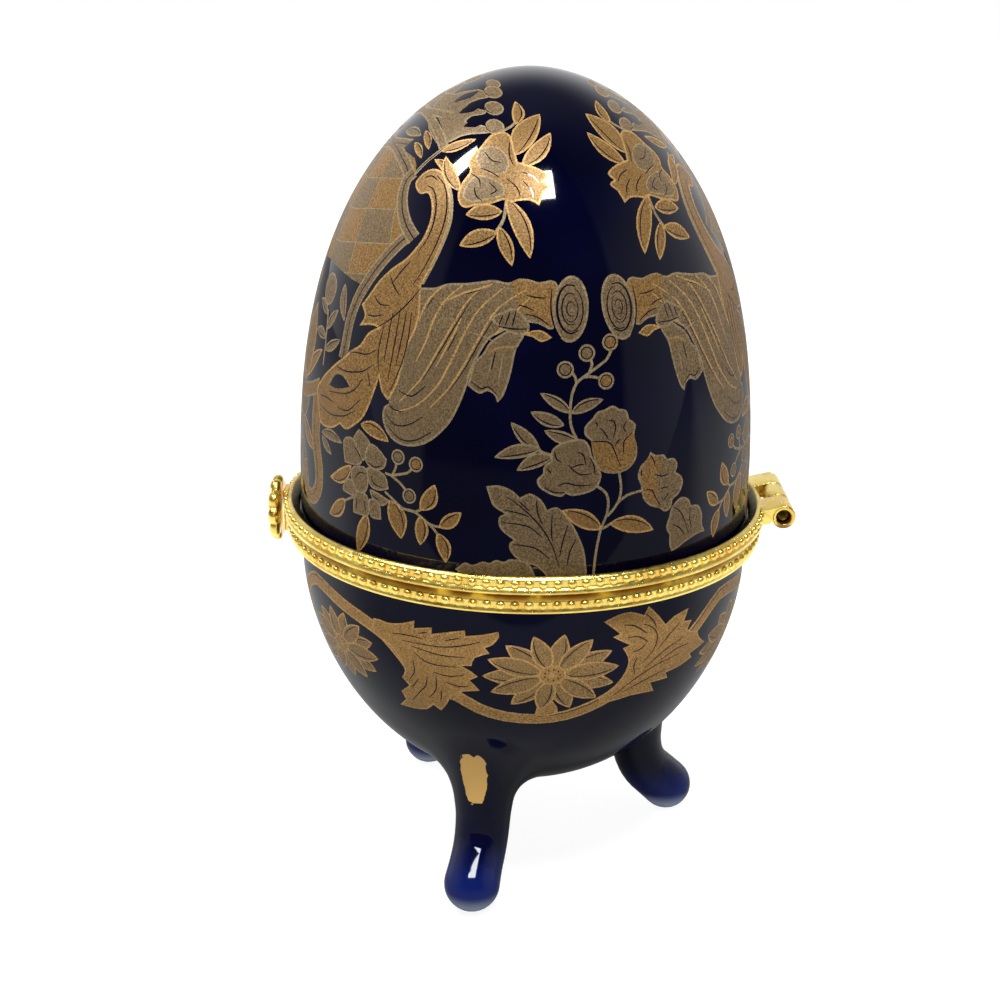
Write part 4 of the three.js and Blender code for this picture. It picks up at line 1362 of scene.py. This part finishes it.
def add_leg(clay, angle, root, count):
    """A leg from its root ring on the bowl to the foot's tip."""
    tip, rings = leg_rings(angle, count)
    below = [[clay.add(place) for place, _, _ in ring] for ring in rings]
    for numbers, ring in zip(below, rings):
        for number, (_, side, up) in zip(numbers, ring):
            clay.knee[number] = (side, up, 0.0)
    centre = sum((clay.points[i] for i in root), Vector()) / len(root)
    blend_steps = 14
    grid = [[] for _ in range(blend_steps - 1)]
    for k in range(count):
        start, end = clay.points[root[k]], clay.points[below[-1][k]]
        normal = clay.normals[root[k]]
        inward = centre - start
        inward -= normal * inward.dot(normal)
        inward.normalize()
        fall = (clay.points[below[-2][k]] - end).normalized()
        gap = (end - start).length
        lead, trail = inward * gap * 1.15, fall * gap
        side = rings[-1][k][1]
        for s in range(1, blend_steps):
            t = s / blend_steps
            h = (2 * t**3 - 3 * t**2 + 1, t**3 - 2 * t**2 + t, -2 * t**3 + 3 * t**2, t**3 - t**2)
            place = start * h[0] + lead * h[1] + end * h[2] + trail * h[3]
            number = clay.add(place)
            clay.knee[number] = (side * (1 + 0.9 * (1 - t)), place.z, 0.0)
            grid[s - 1].append(number)
        clay.knee[root[k]] = (side * 1.9, start.z, 0.0)
    chain = [root, *grid, *reversed(below)]
    for low, high in zip(chain, chain[1:]):
        clay.bridge(high, low)
    tip_number = clay.add(tip)
    clay.knee[tip_number] = (0.0, 0.0, 0.0)
    last = chain[-1]
    for i in range(count):
        clay.face((last[i], tip_number, last[(i + 1) % count]))


class EGGBOX_OT_bowl(bpy.types.Operator):
    """Make the porcelain bowl with its three legs and its gold print"""

    bl_idname = "eggbox.bowl"
    bl_label = "Porcelain Bowl and Legs"

    def execute(self, context):
        step = context.scene.egg_porcelain.mesh_step / MM
        curve = DomeCurve(BOWL_DOME, BOWL_EDGE)
        holes = [leg_hole(curve, angle, LEG_AROUND) for angle in LEG_ANGLES]
        skin = printed_skin(curve, bowl_print(curve), step, AROUND, holes)
        clay = Clay()
        clay.points, clay.normals, clay.faces, clay.inks, rim, roots = skin
        clay.faces = [list(reversed(face)) for face in clay.faces]
        for angle, root in zip(LEG_ANGLES, roots):
            add_leg(clay, angle, root, LEG_AROUND)
        add_inner_wall(clay, BOWL_DOME, BOWL_EDGE, rim, AROUND)
        piece = clay.object("bowl_porcelain", porcelain_materials("scroll", "petal"))
        finish_piece(piece, "base", "base_bowl")
        return {"FINISHED"}


# ---------------------------------------------------------------- brass operators


def deselect():
    if bpy.context.object and bpy.context.object.mode != "OBJECT":
        bpy.ops.object.mode_set(mode="OBJECT")
    bpy.ops.object.select_all(action="DESELECT")


def work_on(piece):
    deselect()
    piece.select_set(True)
    bpy.context.view_layer.objects.active = piece


def settle(piece):
    """Puts the object's place into its mesh."""
    work_on(piece)
    bpy.ops.object.transform_apply(location=True, rotation=True, scale=True)


def join(name, pieces):
    """Makes one object of several, with its place in its mesh."""
    deselect()
    for piece in pieces:
        piece.select_set(True)
    bpy.context.view_layer.objects.active = pieces[0]
    bpy.ops.object.join()
    whole = bpy.context.object
    whole.name = whole.data.name = name
    settle(whole)
    return whole


def edit_all(piece):
    """Opens a piece for editing with all of it selected."""
    work_on(piece)
    bpy.ops.object.mode_set(mode="EDIT")
    bpy.ops.mesh.select_all(action="SELECT")


def face_outward():
    """Turns every face of the piece being edited outward, and ends the editing."""
    bpy.ops.mesh.select_all(action="SELECT")
    bpy.ops.mesh.normals_make_consistent(inside=False)
    bpy.ops.object.mode_set(mode="OBJECT")


def smooth(angle):
    """Shades the active piece smooth, but for edges sharper than the angle."""
    bpy.ops.object.shade_smooth_by_angle(angle=math.radians(angle))


def ease_edges(piece, width, segments):
    """Rounds off the sharp edges of the active piece."""
    ease = piece.modifiers.new("ease", "BEVEL")
    ease.width = width * MM
    ease.segments = segments
    ease.limit_method = "ANGLE"
    bpy.ops.object.modifier_apply(modifier="ease")
    smooth(40)


def outline_object(name, places):
    """A closed line through places given in mm."""
    count = len(places)
    edges = [(i, (i + 1) % count) for i in range(count)]
    return new_piece(name, [(x * MM, y * MM, z * MM) for x, y, z in places], edges, [])


def spun_ring(name, section):
    """A closed section, as radius and height, turned about the egg's axis."""
    piece = outline_object(name, [(x, 0, z) for x, z in section])
    edit_all(piece)
    bpy.ops.mesh.spin(steps=AROUND, angle=math.tau, center=(0, 0, 0), axis=(0, 0, 1))
    bpy.ops.mesh.select_all(action="SELECT")
    bpy.ops.mesh.remove_doubles(threshold=0.01 * MM)
    face_outward()
    smooth(35)
    return piece


def bead_row(name, radius, height, gaps):
    """Beads set round a ring: one is modelled, and the rest are copies of it.

    The gaps are half the widths left bare at the hinge and at the clasp."""
    settings = bpy.context.scene.egg_brass
    deselect()
    bpy.ops.mesh.primitive_uv_sphere_add(segments=12, ring_count=8, radius=settings.bead_radius)
    model = bpy.context.object
    edit_all(model)
    bpy.ops.transform.resize(value=(0.85, 1.08, 1.0))
    bpy.ops.object.mode_set(mode="OBJECT")
    bpy.ops.object.shade_smooth()
    bead = model.data
    bpy.data.objects.remove(model)
    bm = bmesh.new()
    for i in range(settings.beads):
        turn = math.tau * (i + 0.5) / settings.beads
        place = Vector((radius * math.cos(turn), radius * math.sin(turn), height))
        if abs(place.x) < gaps[0 if place.y > 0 else 1]:
            continue
        start = len(bm.verts)
        bm.from_mesh(bead)
        bm.verts.ensure_lookup_table()
        move = Matrix.Translation(place * MM) @ Matrix.Rotation(turn, 4, "Z")
        bmesh.ops.transform(bm, matrix=move, verts=bm.verts[start:])
    piece = new_piece(name, [], [], [])
    bm.to_mesh(piece.data)
    bm.free()
    bpy.data.meshes.remove(bead)
    return piece


def rounded(section, radius, steps=3):
    """The section with each corner turned to a small arc."""
    count = len(section)
    points = []
    for i in range(count):
        before, here, after = (Vector(section[(i + k) % count]) for k in (-1, 0, 1))
        reach = min(radius, (before - here).length * 0.4, (after - here).length * 0.4)
        a = here + (before - here).normalized() * reach
        b = here + (after - here).normalized() * reach
        for s in range(steps + 1):
            t = s / steps
            points.append(tuple(a.lerp(here, t).lerp(here.lerp(b, t), t)))
    return points


# The hinge's barrel, and half the lengths of all of it and of its middle knuckle.
BARREL = dict(y=34.45, z=51.05, radius=1.6, bore=1.0)
BARREL_HALF = 7.2
MIDDLE_HALF = 2.35
# The gap from the porcelain to the rims, and between the knuckles.
FIT = 0.3
# Where the rims meet: the faces on the bowl's side and on the lid's, and the ledges' inner radius.
SEAM = (BOWL_EDGE + 0.7, LID_EDGE - 0.7)
MOUTH = 27.4
# Half the widths of the clasp's lug and of its catch.
LUG_HALF = 1.7
CATCH_HALF = 1.3
# The rounding of the rims' corners, and of the edges of straps and lugs.
LIP = 0.14
EASED = 0.16


def barrel(name, low, high):
    """A knuckle of the hinge, bored through."""
    outer, inner = BARREL["radius"], BARREL["bore"]
    section = rounded([(low, inner), (high, inner), (high, outer), (low, outer)], 0.18)
    count = len(section)
    around = 32
    points, faces = [], []
    for i in range(around):
        a = math.tau * i / around
        for x, r in section:
            y, z = BARREL["y"] + r * math.cos(a), BARREL["z"] + r * math.sin(a)
            points.append((x * MM, y * MM, z * MM))
    for i in range(around):
        for j in range(count):
            a, b = i * count + j, i * count + (j + 1) % count
            c, d = ((i + 1) % around) * count + (j + 1) % count, ((i + 1) % around) * count + j
            faces.append((a, b, c, d))
    piece = new_piece(name, points, [], faces)
    edit_all(piece)
    face_outward()
    smooth(40)
    return piece


def bar_along_x(name, outline, low, high):
    """A plate with its outline in the YZ plane, drawn out along X, with its edges eased."""
    piece = outline_object(name, [(0, y, z) for y, z in outline])
    edit_all(piece)
    bpy.ops.mesh.edge_face_add()
    bpy.ops.transform.translate(value=(low * MM, 0, 0))
    bpy.ops.mesh.extrude_region_move(TRANSFORM_OT_translate={"value": ((high - low) * MM, 0, 0)})
    face_outward()
    ease_edges(piece, EASED, 3)
    return piece


def paint(piece, material):
    piece.data.materials.clear()
    piece.data.materials.append(material)


class EGGBOX_OT_lid_rim(bpy.types.Operator):
    """Make the lid's beaded rim with its two hinge straps and the clasp's lug"""

    bl_idname = "eggbox.lid_rim"
    bl_label = "Lid Rim"

    def execute(self, context):
        wall = LID_DOME["radius"] + FIT
        low = SEAM[1]
        section = [
            (32.25, 50.75), (32.25, 51.65), (31.95, 51.95), (31.62, 52.01), (31.2, 51.6), (wall, 51.1),
            (wall, low + 0.4), (MOUTH, low + 0.4), (MOUTH, low), (32.45, low), (32.6, 50.1), (32.5, 50.5),
        ]
        ring = spun_ring("ring", rounded(section, LIP))
        beads = bead_row("beads", 32.25, 51.2, (BARREL_HALF, LUG_HALF))
        strap = [
            (30.9, 50.45), (32.6, 50.45), (33.35, 50.25), (33.53, 50.13), (33.23, 50.6), (33.15, 51.05),
            (33.32, 51.7), (33.8, 52.18), (34.22, 52.33), (34.2, 52.6), (33.0, 52.3), (31.4, 51.9),
        ]
        parts = [ring, beads]
        for side in (-1, 1):
            near, far = sorted((side * (MIDDLE_HALF + FIT), side * BARREL_HALF))
            parts.append(bar_along_x("strap", strap, near, far))
            parts.append(barrel("knuckle", near, far))
        lug = [(-32.9, 50.05), (-31.3, 50.05), (-31.3, 51.5), (-32.9, 51.5)]
        parts.append(bar_along_x("lug", lug, -LUG_HALF, LUG_HALF))
        piece = join("lid_rim_beaded", parts)
        paint(piece, brass())
        finish_piece(piece, "lid", "lid_rim")
        return {"FINISHED"}


class EGGBOX_OT_base_rim(bpy.types.Operator):
    """Make the bowl's beaded rim with the hinge's middle knuckle and the clasp's catch"""

    bl_idname = "eggbox.base_rim"
    bl_label = "Base Rim"

    def execute(self, context):
        wall = BOWL_DOME["radius"] + FIT
        high = SEAM[0]
        section = [
            (31.85, 47.9), (31.85, 48.8), (31.6, 49.1), (31.2, high), (MOUTH, high),
            (MOUTH, high - 0.4), (wall, high - 0.4), (wall, 47.28), (31.95, 47.28), (32.0, 47.5),
        ]
        ring = spun_ring("ring", rounded(section, LIP))
        beads = bead_row("beads", 31.85, 48.35, (MIDDLE_HALF, CATCH_HALF))
        strap = [
            (31.0, 47.9), (33.4, 48.2), (35.1, 49.45), (35.45, 50.1), (34.9, 49.83), (34.45, 49.75),
            (33.9, 49.87), (33.53, 50.13), (33.2, 50.65), (32.95, 50.5), (32.9, 49.5), (31.0, 49.4),
        ]
        parts = [ring, beads, bar_along_x("strap", strap, -MIDDLE_HALF, MIDDLE_HALF)]
        parts.append(barrel("knuckle", -MIDDLE_HALF, MIDDLE_HALF))
        catch = [(-32.85, 45.6), (-31.3, 45.6), (-31.3, 48.6), (-32.85, 48.6)]
        parts.append(bar_along_x("catch", catch, -CATCH_HALF, CATCH_HALF))
        piece = join("base_rim_beaded", parts)
        paint(piece, brass())
        finish_piece(piece, "base", "base_rim")
        return {"FINISHED"}


class EGGBOX_OT_hinge_pin(bpy.types.Operator):
    """Make the pin that runs through the hinge's knuckles"""

    bl_idname = "eggbox.hinge_pin"
    bl_label = "Hinge Pin"

    def execute(self, context):
        deselect()
        centre = (PIN_LOW + PIN_HIGH) / 2
        bpy.ops.mesh.primitive_cylinder_add(
            vertices=24, radius=(PIN_HIGH.z - PIN_LOW.z) / 2 * MM, depth=(PIN_HIGH.x - PIN_LOW.x) * MM,
            location=centre * MM, rotation=(0, math.pi / 2, 0),
        )
        piece = bpy.context.object
        piece.name = piece.data.name = "hinge_pin_turned"
        settle(piece)
        ease_edges(piece, 0.15, 2)
        # Painted shade: the pin's brass is darkened to a third, so its ends read as the dark hollow of the
        # knuckles' bore.
        dark = [c * 0.3 for c in context.scene.egg_brass.brass]
        paint(piece, cached("pin_brass", lambda: brass_material("brass_pin", dark)))
        finish_piece(piece, "base", "hinge_pin")
        return {"FINISHED"}


class EGGBOX_OT_clasp(bpy.types.Operator):
    """Make the clasp's ten-petalled flower"""

    bl_idname = "eggbox.clasp"
    bl_label = "Clasp Flower"

    def execute(self, context):
        petals, per_petal = 10, 12
        around = petals * per_petal
        radius = (FLOWER_HIGH.x - FLOWER_LOW.x) / 2

        def dip(turn):
            return 1 - abs(math.cos(turn * petals / 2))

        # Each row's radius, how far its scallops dip in, its rise, and how deep its grooves are.
        rows = (
            (radius - 0.4, 0.5, 0.0, 0), (radius - 0.1, 0.5, 0.2, 0), (radius, 0.55, 0.5, 0),
            (radius - 0.02, 0.6, 0.85, 0), (radius - 0.25, 0.5, 1.2, 0.15), (radius * 0.86, 0.35, 1.4, 0.45),
            (radius * 0.72, 0.15, 1.4, 0.5), (radius * 0.56, 0, 1.22, 0.38), (radius * 0.42, 0, 1.05, 0.2),
            (radius * 0.33, 0, 1.0, 0), (1.25, 0, 1.15, 0), (1.2, 0, 1.45, 0), (0.95, 0, 1.75, 0),
            (0.55, 0, 1.9, 0),
        )
        tip = 1.925  # how far the middle stands out
        points, faces = [(0, 0, 0)], []
        for reach, scallop, rise, groove in rows:
            for i in range(around):
                turn = math.tau * i / around
                out = reach - scallop * dip(turn)
                points.append((out * math.cos(turn), out * math.sin(turn), rise - groove * dip(turn) ** 2))
        points.append((0, 0, tip))
        last = len(points) - 1
        for i in range(around):
            j = (i + 1) % around
            faces.append((0, 1 + j, 1 + i))
            faces.append((last, last - around + i, last - around + j))
            for level in range(len(rows) - 1):
                a = 1 + level * around
                faces.append((a + i, a + j, a + around + j, a + around + i))
        back = FLOWER_HIGH.y
        middle = (FLOWER_LOW.z + FLOWER_HIGH.z) / 2
        places = [(x * MM, (back - z) * MM, (middle + y) * MM) for x, y, z in points]
        piece = new_piece("clasp_flower_cast", places, [], faces)
        edit_all(piece)
        face_outward()
        smooth(50)
        paint(piece, brass())
        finish_piece(piece, "lid", "clasp_flower")
        return {"FINISHED"}


# ---------------------------------------------------------------- studio


SHINE_AT = Vector((0.020, 0.0, 0.096))
DAYLIGHT = (0.95, 0.98, 1.0)
LAMPLIGHT = (1.0, 0.98, 0.90)
BRASS_PIECES = ("lid_rim_beaded", "base_rim_beaded", "clasp_flower_cast")

# The lights: name, way from the lid's shoulder, distance, width and height, power, colour, and the
# pieces that it is kept to, if not all. Lengths from here on are in metres.
LIGHTS = (
    ("window_front", (0.433, 0.108, 0.895), 0.8, (0.175, 0.165), 4.6, DAYLIGHT, ()),
    ("toe_glint", (0.656, -0.03, 0.755), 0.6, (0.34, 0.10), 2.0, DAYLIGHT, ("bowl_porcelain",)),
    ("brass_top", (0.75, 0.0, 0.66), 0.9, (1.3, 0.8), 1.8, LAMPLIGHT, BRASS_PIECES),
    ("brass_table", (0, 0, -1), 0.0955, (2.2, 2.2), 15.5, LAMPLIGHT, BRASS_PIECES),
    ("window_side", (0.067, -0.53, 0.845), 0.8, (0.10, 0.20), 3.4, DAYLIGHT, ()),
)

FLOOR_FRONT, FLOOR_FAR = 0.13, 3.0
# How bright the walls are round the room, from behind the box (0) to in front of it (1).
WALL_STOPS = ((0.0, 0.95), (0.35, 0.45), (0.63, 0.27), (0.81, 0.17), (0.835, 0.035), (1.0, 0.028))

# Where the camera stands, and the ways to its right, up and back.
EYE = (0.193467, 0, 0.118642)
EYE_RIGHT = (-0.0211, 0.9997, 0.01209)
EYE_UP = (-0.33308, -0.01843, 0.94272)
EYE_BACK = (0.94266, 0.01586, 0.33338)


def softbox(name, way, distance, size, power, colour, kept_to):
    """A soft rectangular light that faces the lid's shoulder."""
    light = bpy.data.lights.new(name, "AREA")
    light.shape = "RECTANGLE"
    light.size, light.size_y = size
    light.energy = power
    light.color = colour
    lamp = bpy.data.objects.new(name, light)
    bpy.context.scene.collection.objects.link(lamp)
    way = Vector(way).normalized()
    lamp.location = SHINE_AT + way * distance
    lamp.rotation_euler = (-way).to_track_quat("-Z", "Y").to_euler()
    if kept_to:
        lit = bpy.data.collections.new(name)
        for piece in kept_to:
            lit.objects.link(bpy.data.objects[piece])
        lamp.light_linking.receiver_collection = lit
        lamp.visible_camera = False


def make_floor(settings):
    """A pale sheet that ends a little in front of the box, white to the eye, glowing as a painted fill
    light, and painted darker in front as shade in reflections.
    """
    deselect()
    bpy.ops.mesh.primitive_plane_add(size=1.0, location=((FLOOR_FRONT - FLOOR_FAR) / 2, 0, 0))
    floor = bpy.context.object
    floor.name = floor.data.name = "studio_floor"
    floor.scale = (FLOOR_FRONT + FLOOR_FAR, 2 * FLOOR_FAR, 1)
    settle(floor)
    material, net = new_material("pale_floor")
    x, _, _ = net.split(net.place())
    # Painted shade: the floor's front is darker, and this shows in reflections.
    far, near = ([c * share for c in settings.backdrop] for share in (0.34, 0.12))
    shade = net.mix(net.ramp(x, -0.03, 0.05), far, near)
    net.colour(net.mix(net.times(net.noise(40, 3), 0.03), shade, (0, 0, 0)))
    net.shader.inputs["Roughness"].default_value = 0.9
    net.shader.inputs["Emission Color"].default_value = (*settings.backdrop, 1)
    # The floor glows: white to the camera, and as painted light, a fill, on diffuse bounces.
    rays = net.node("ShaderNodeLightPath")
    seen = net.times(rays.outputs["Is Camera Ray"], 0.88)
    diffuse_glow = net.times(rays.outputs["Is Diffuse Ray"], 0.55)
    net.links.new(net.maths("ADD", seen, diffuse_glow), net.shader.inputs["Emission Strength"])
    paint(floor, material)


def make_world(settings):
    """A white backdrop, with soft light that is strong behind the box and faint in front of it."""
    world = bpy.data.worlds.new("studio")
    bpy.context.scene.world = world
    net = Shading(world, "Background")
    x, y, z = net.split(net.node("ShaderNodeTexCoord").outputs["Generated"])
    level = net.maths("SQRT", net.maths("ADD", net.times(x, x), net.times(y, y)))
    facing = net.maths("DIVIDE", x, net.maths("MAXIMUM", level, 0.001))
    round_room = net.node("ShaderNodeFloatCurve")
    curve = round_room.mapping.curves[0]
    curve.points[0].location, curve.points[1].location = WALL_STOPS[0], WALL_STOPS[-1]
    for stop in WALL_STOPS[1:-1]:
        curve.points.new(*stop)
    for point in curve.points:
        point.handle_type = "VECTOR"
    round_room.mapping.update()
    net.links.new(net.maths("MULTIPLY_ADD", facing, 0.5, 0.5), round_room.inputs["Value"])
    low_down = net.ramp(z, 0.87, 0.42)
    walls = net.times(round_room.outputs[0], net.maths("MULTIPLY_ADD", low_down, 0.86, 0.14))
    below = net.times(net.ramp(z, -0.12, -0.2), 0.07)
    walls = net.maths("MAXIMUM", walls, below)
    rays = net.node("ShaderNodeLightPath")
    fill = net.times(rays.outputs["Is Diffuse Ray"], 0.42)
    lit = net.maths("ADD", walls, fill)
    net.links.new(net.maths("MAXIMUM", lit, rays.outputs["Is Camera Ray"]), net.shader.inputs["Strength"])
    net.shader.inputs["Color"].default_value = (*settings.backdrop, 1)


def make_camera(settings):
    camera = bpy.data.cameras.new("camera")
    camera.sensor_width = 36
    camera.lens = settings.lens
    camera.clip_start = 0.01
    eye = bpy.data.objects.new("camera", camera)
    bpy.context.scene.collection.objects.link(eye)
    turn = Matrix((EYE_RIGHT, EYE_UP, EYE_BACK)).transposed().to_4x4()
    eye.matrix_world = Matrix.Translation(EYE) @ turn
    bpy.context.scene.camera = eye


class EGGBOX_OT_studio(bpy.types.Operator):
    """Make the floor, the soft light and the camera"""

    bl_idname = "eggbox.studio"
    bl_label = "Studio"

    def execute(self, context):
        settings = context.scene.egg_studio
        make_floor(settings)
        make_world(settings)
        for light in LIGHTS:
            softbox(*light)
        make_camera(settings)
        context.scene.view_settings.view_transform = "Standard"
        return {"FINISHED"}


# ---------------------------------------------------------------- panel and registration

OPERATORS = (
    EGGBOX_OT_lid_shell,
    EGGBOX_OT_bowl,
    EGGBOX_OT_lid_rim,
    EGGBOX_OT_base_rim,
    EGGBOX_OT_hinge_pin,
    EGGBOX_OT_clasp,
    EGGBOX_OT_studio,
)


class EGGBOX_PT_panel(bpy.types.Panel):
    """Lists the box's pieces and settings"""

    bl_idname = "EGGBOX_PT_panel"
    bl_label = "Egg Box"
    bl_space_type = "VIEW_3D"
    bl_region_type = "UI"
    bl_category = "Egg Box"

    def draw(self, context):
        for name in ("egg_porcelain", "egg_brass", "egg_studio"):
            settings = getattr(context.scene, name)
            column = self.layout.column(align=True)
            for key in settings.__annotations__:
                column.prop(settings, key)
        for operator in OPERATORS:
            self.layout.operator(operator.bl_idname)


SETTINGS = (EggPorcelainSettings, EggBrassSettings, EggStudioSettings)


def register():
    for cls in (*SETTINGS, *OPERATORS, EGGBOX_PT_panel):
        bpy.utils.register_class(cls)
    bpy.types.Scene.egg_porcelain = PointerProperty(type=EggPorcelainSettings)
    bpy.types.Scene.egg_brass = PointerProperty(type=EggBrassSettings)
    bpy.types.Scene.egg_studio = PointerProperty(type=EggStudioSettings)


def unregister():
    for name in ("egg_porcelain", "egg_brass", "egg_studio"):
        delattr(bpy.types.Scene, name)
    for cls in reversed((*SETTINGS, *OPERATORS, EGGBOX_PT_panel)):
        bpy.utils.unregister_class(cls)


def main():
    register()
    bpy.ops.eggbox.lid_shell()
    bpy.ops.eggbox.bowl()
    bpy.ops.eggbox.lid_rim()
    bpy.ops.eggbox.base_rim()
    bpy.ops.eggbox.hinge_pin()
    bpy.ops.eggbox.clasp()
    bpy.ops.eggbox.studio()


if __name__ == "__main__":
    main()
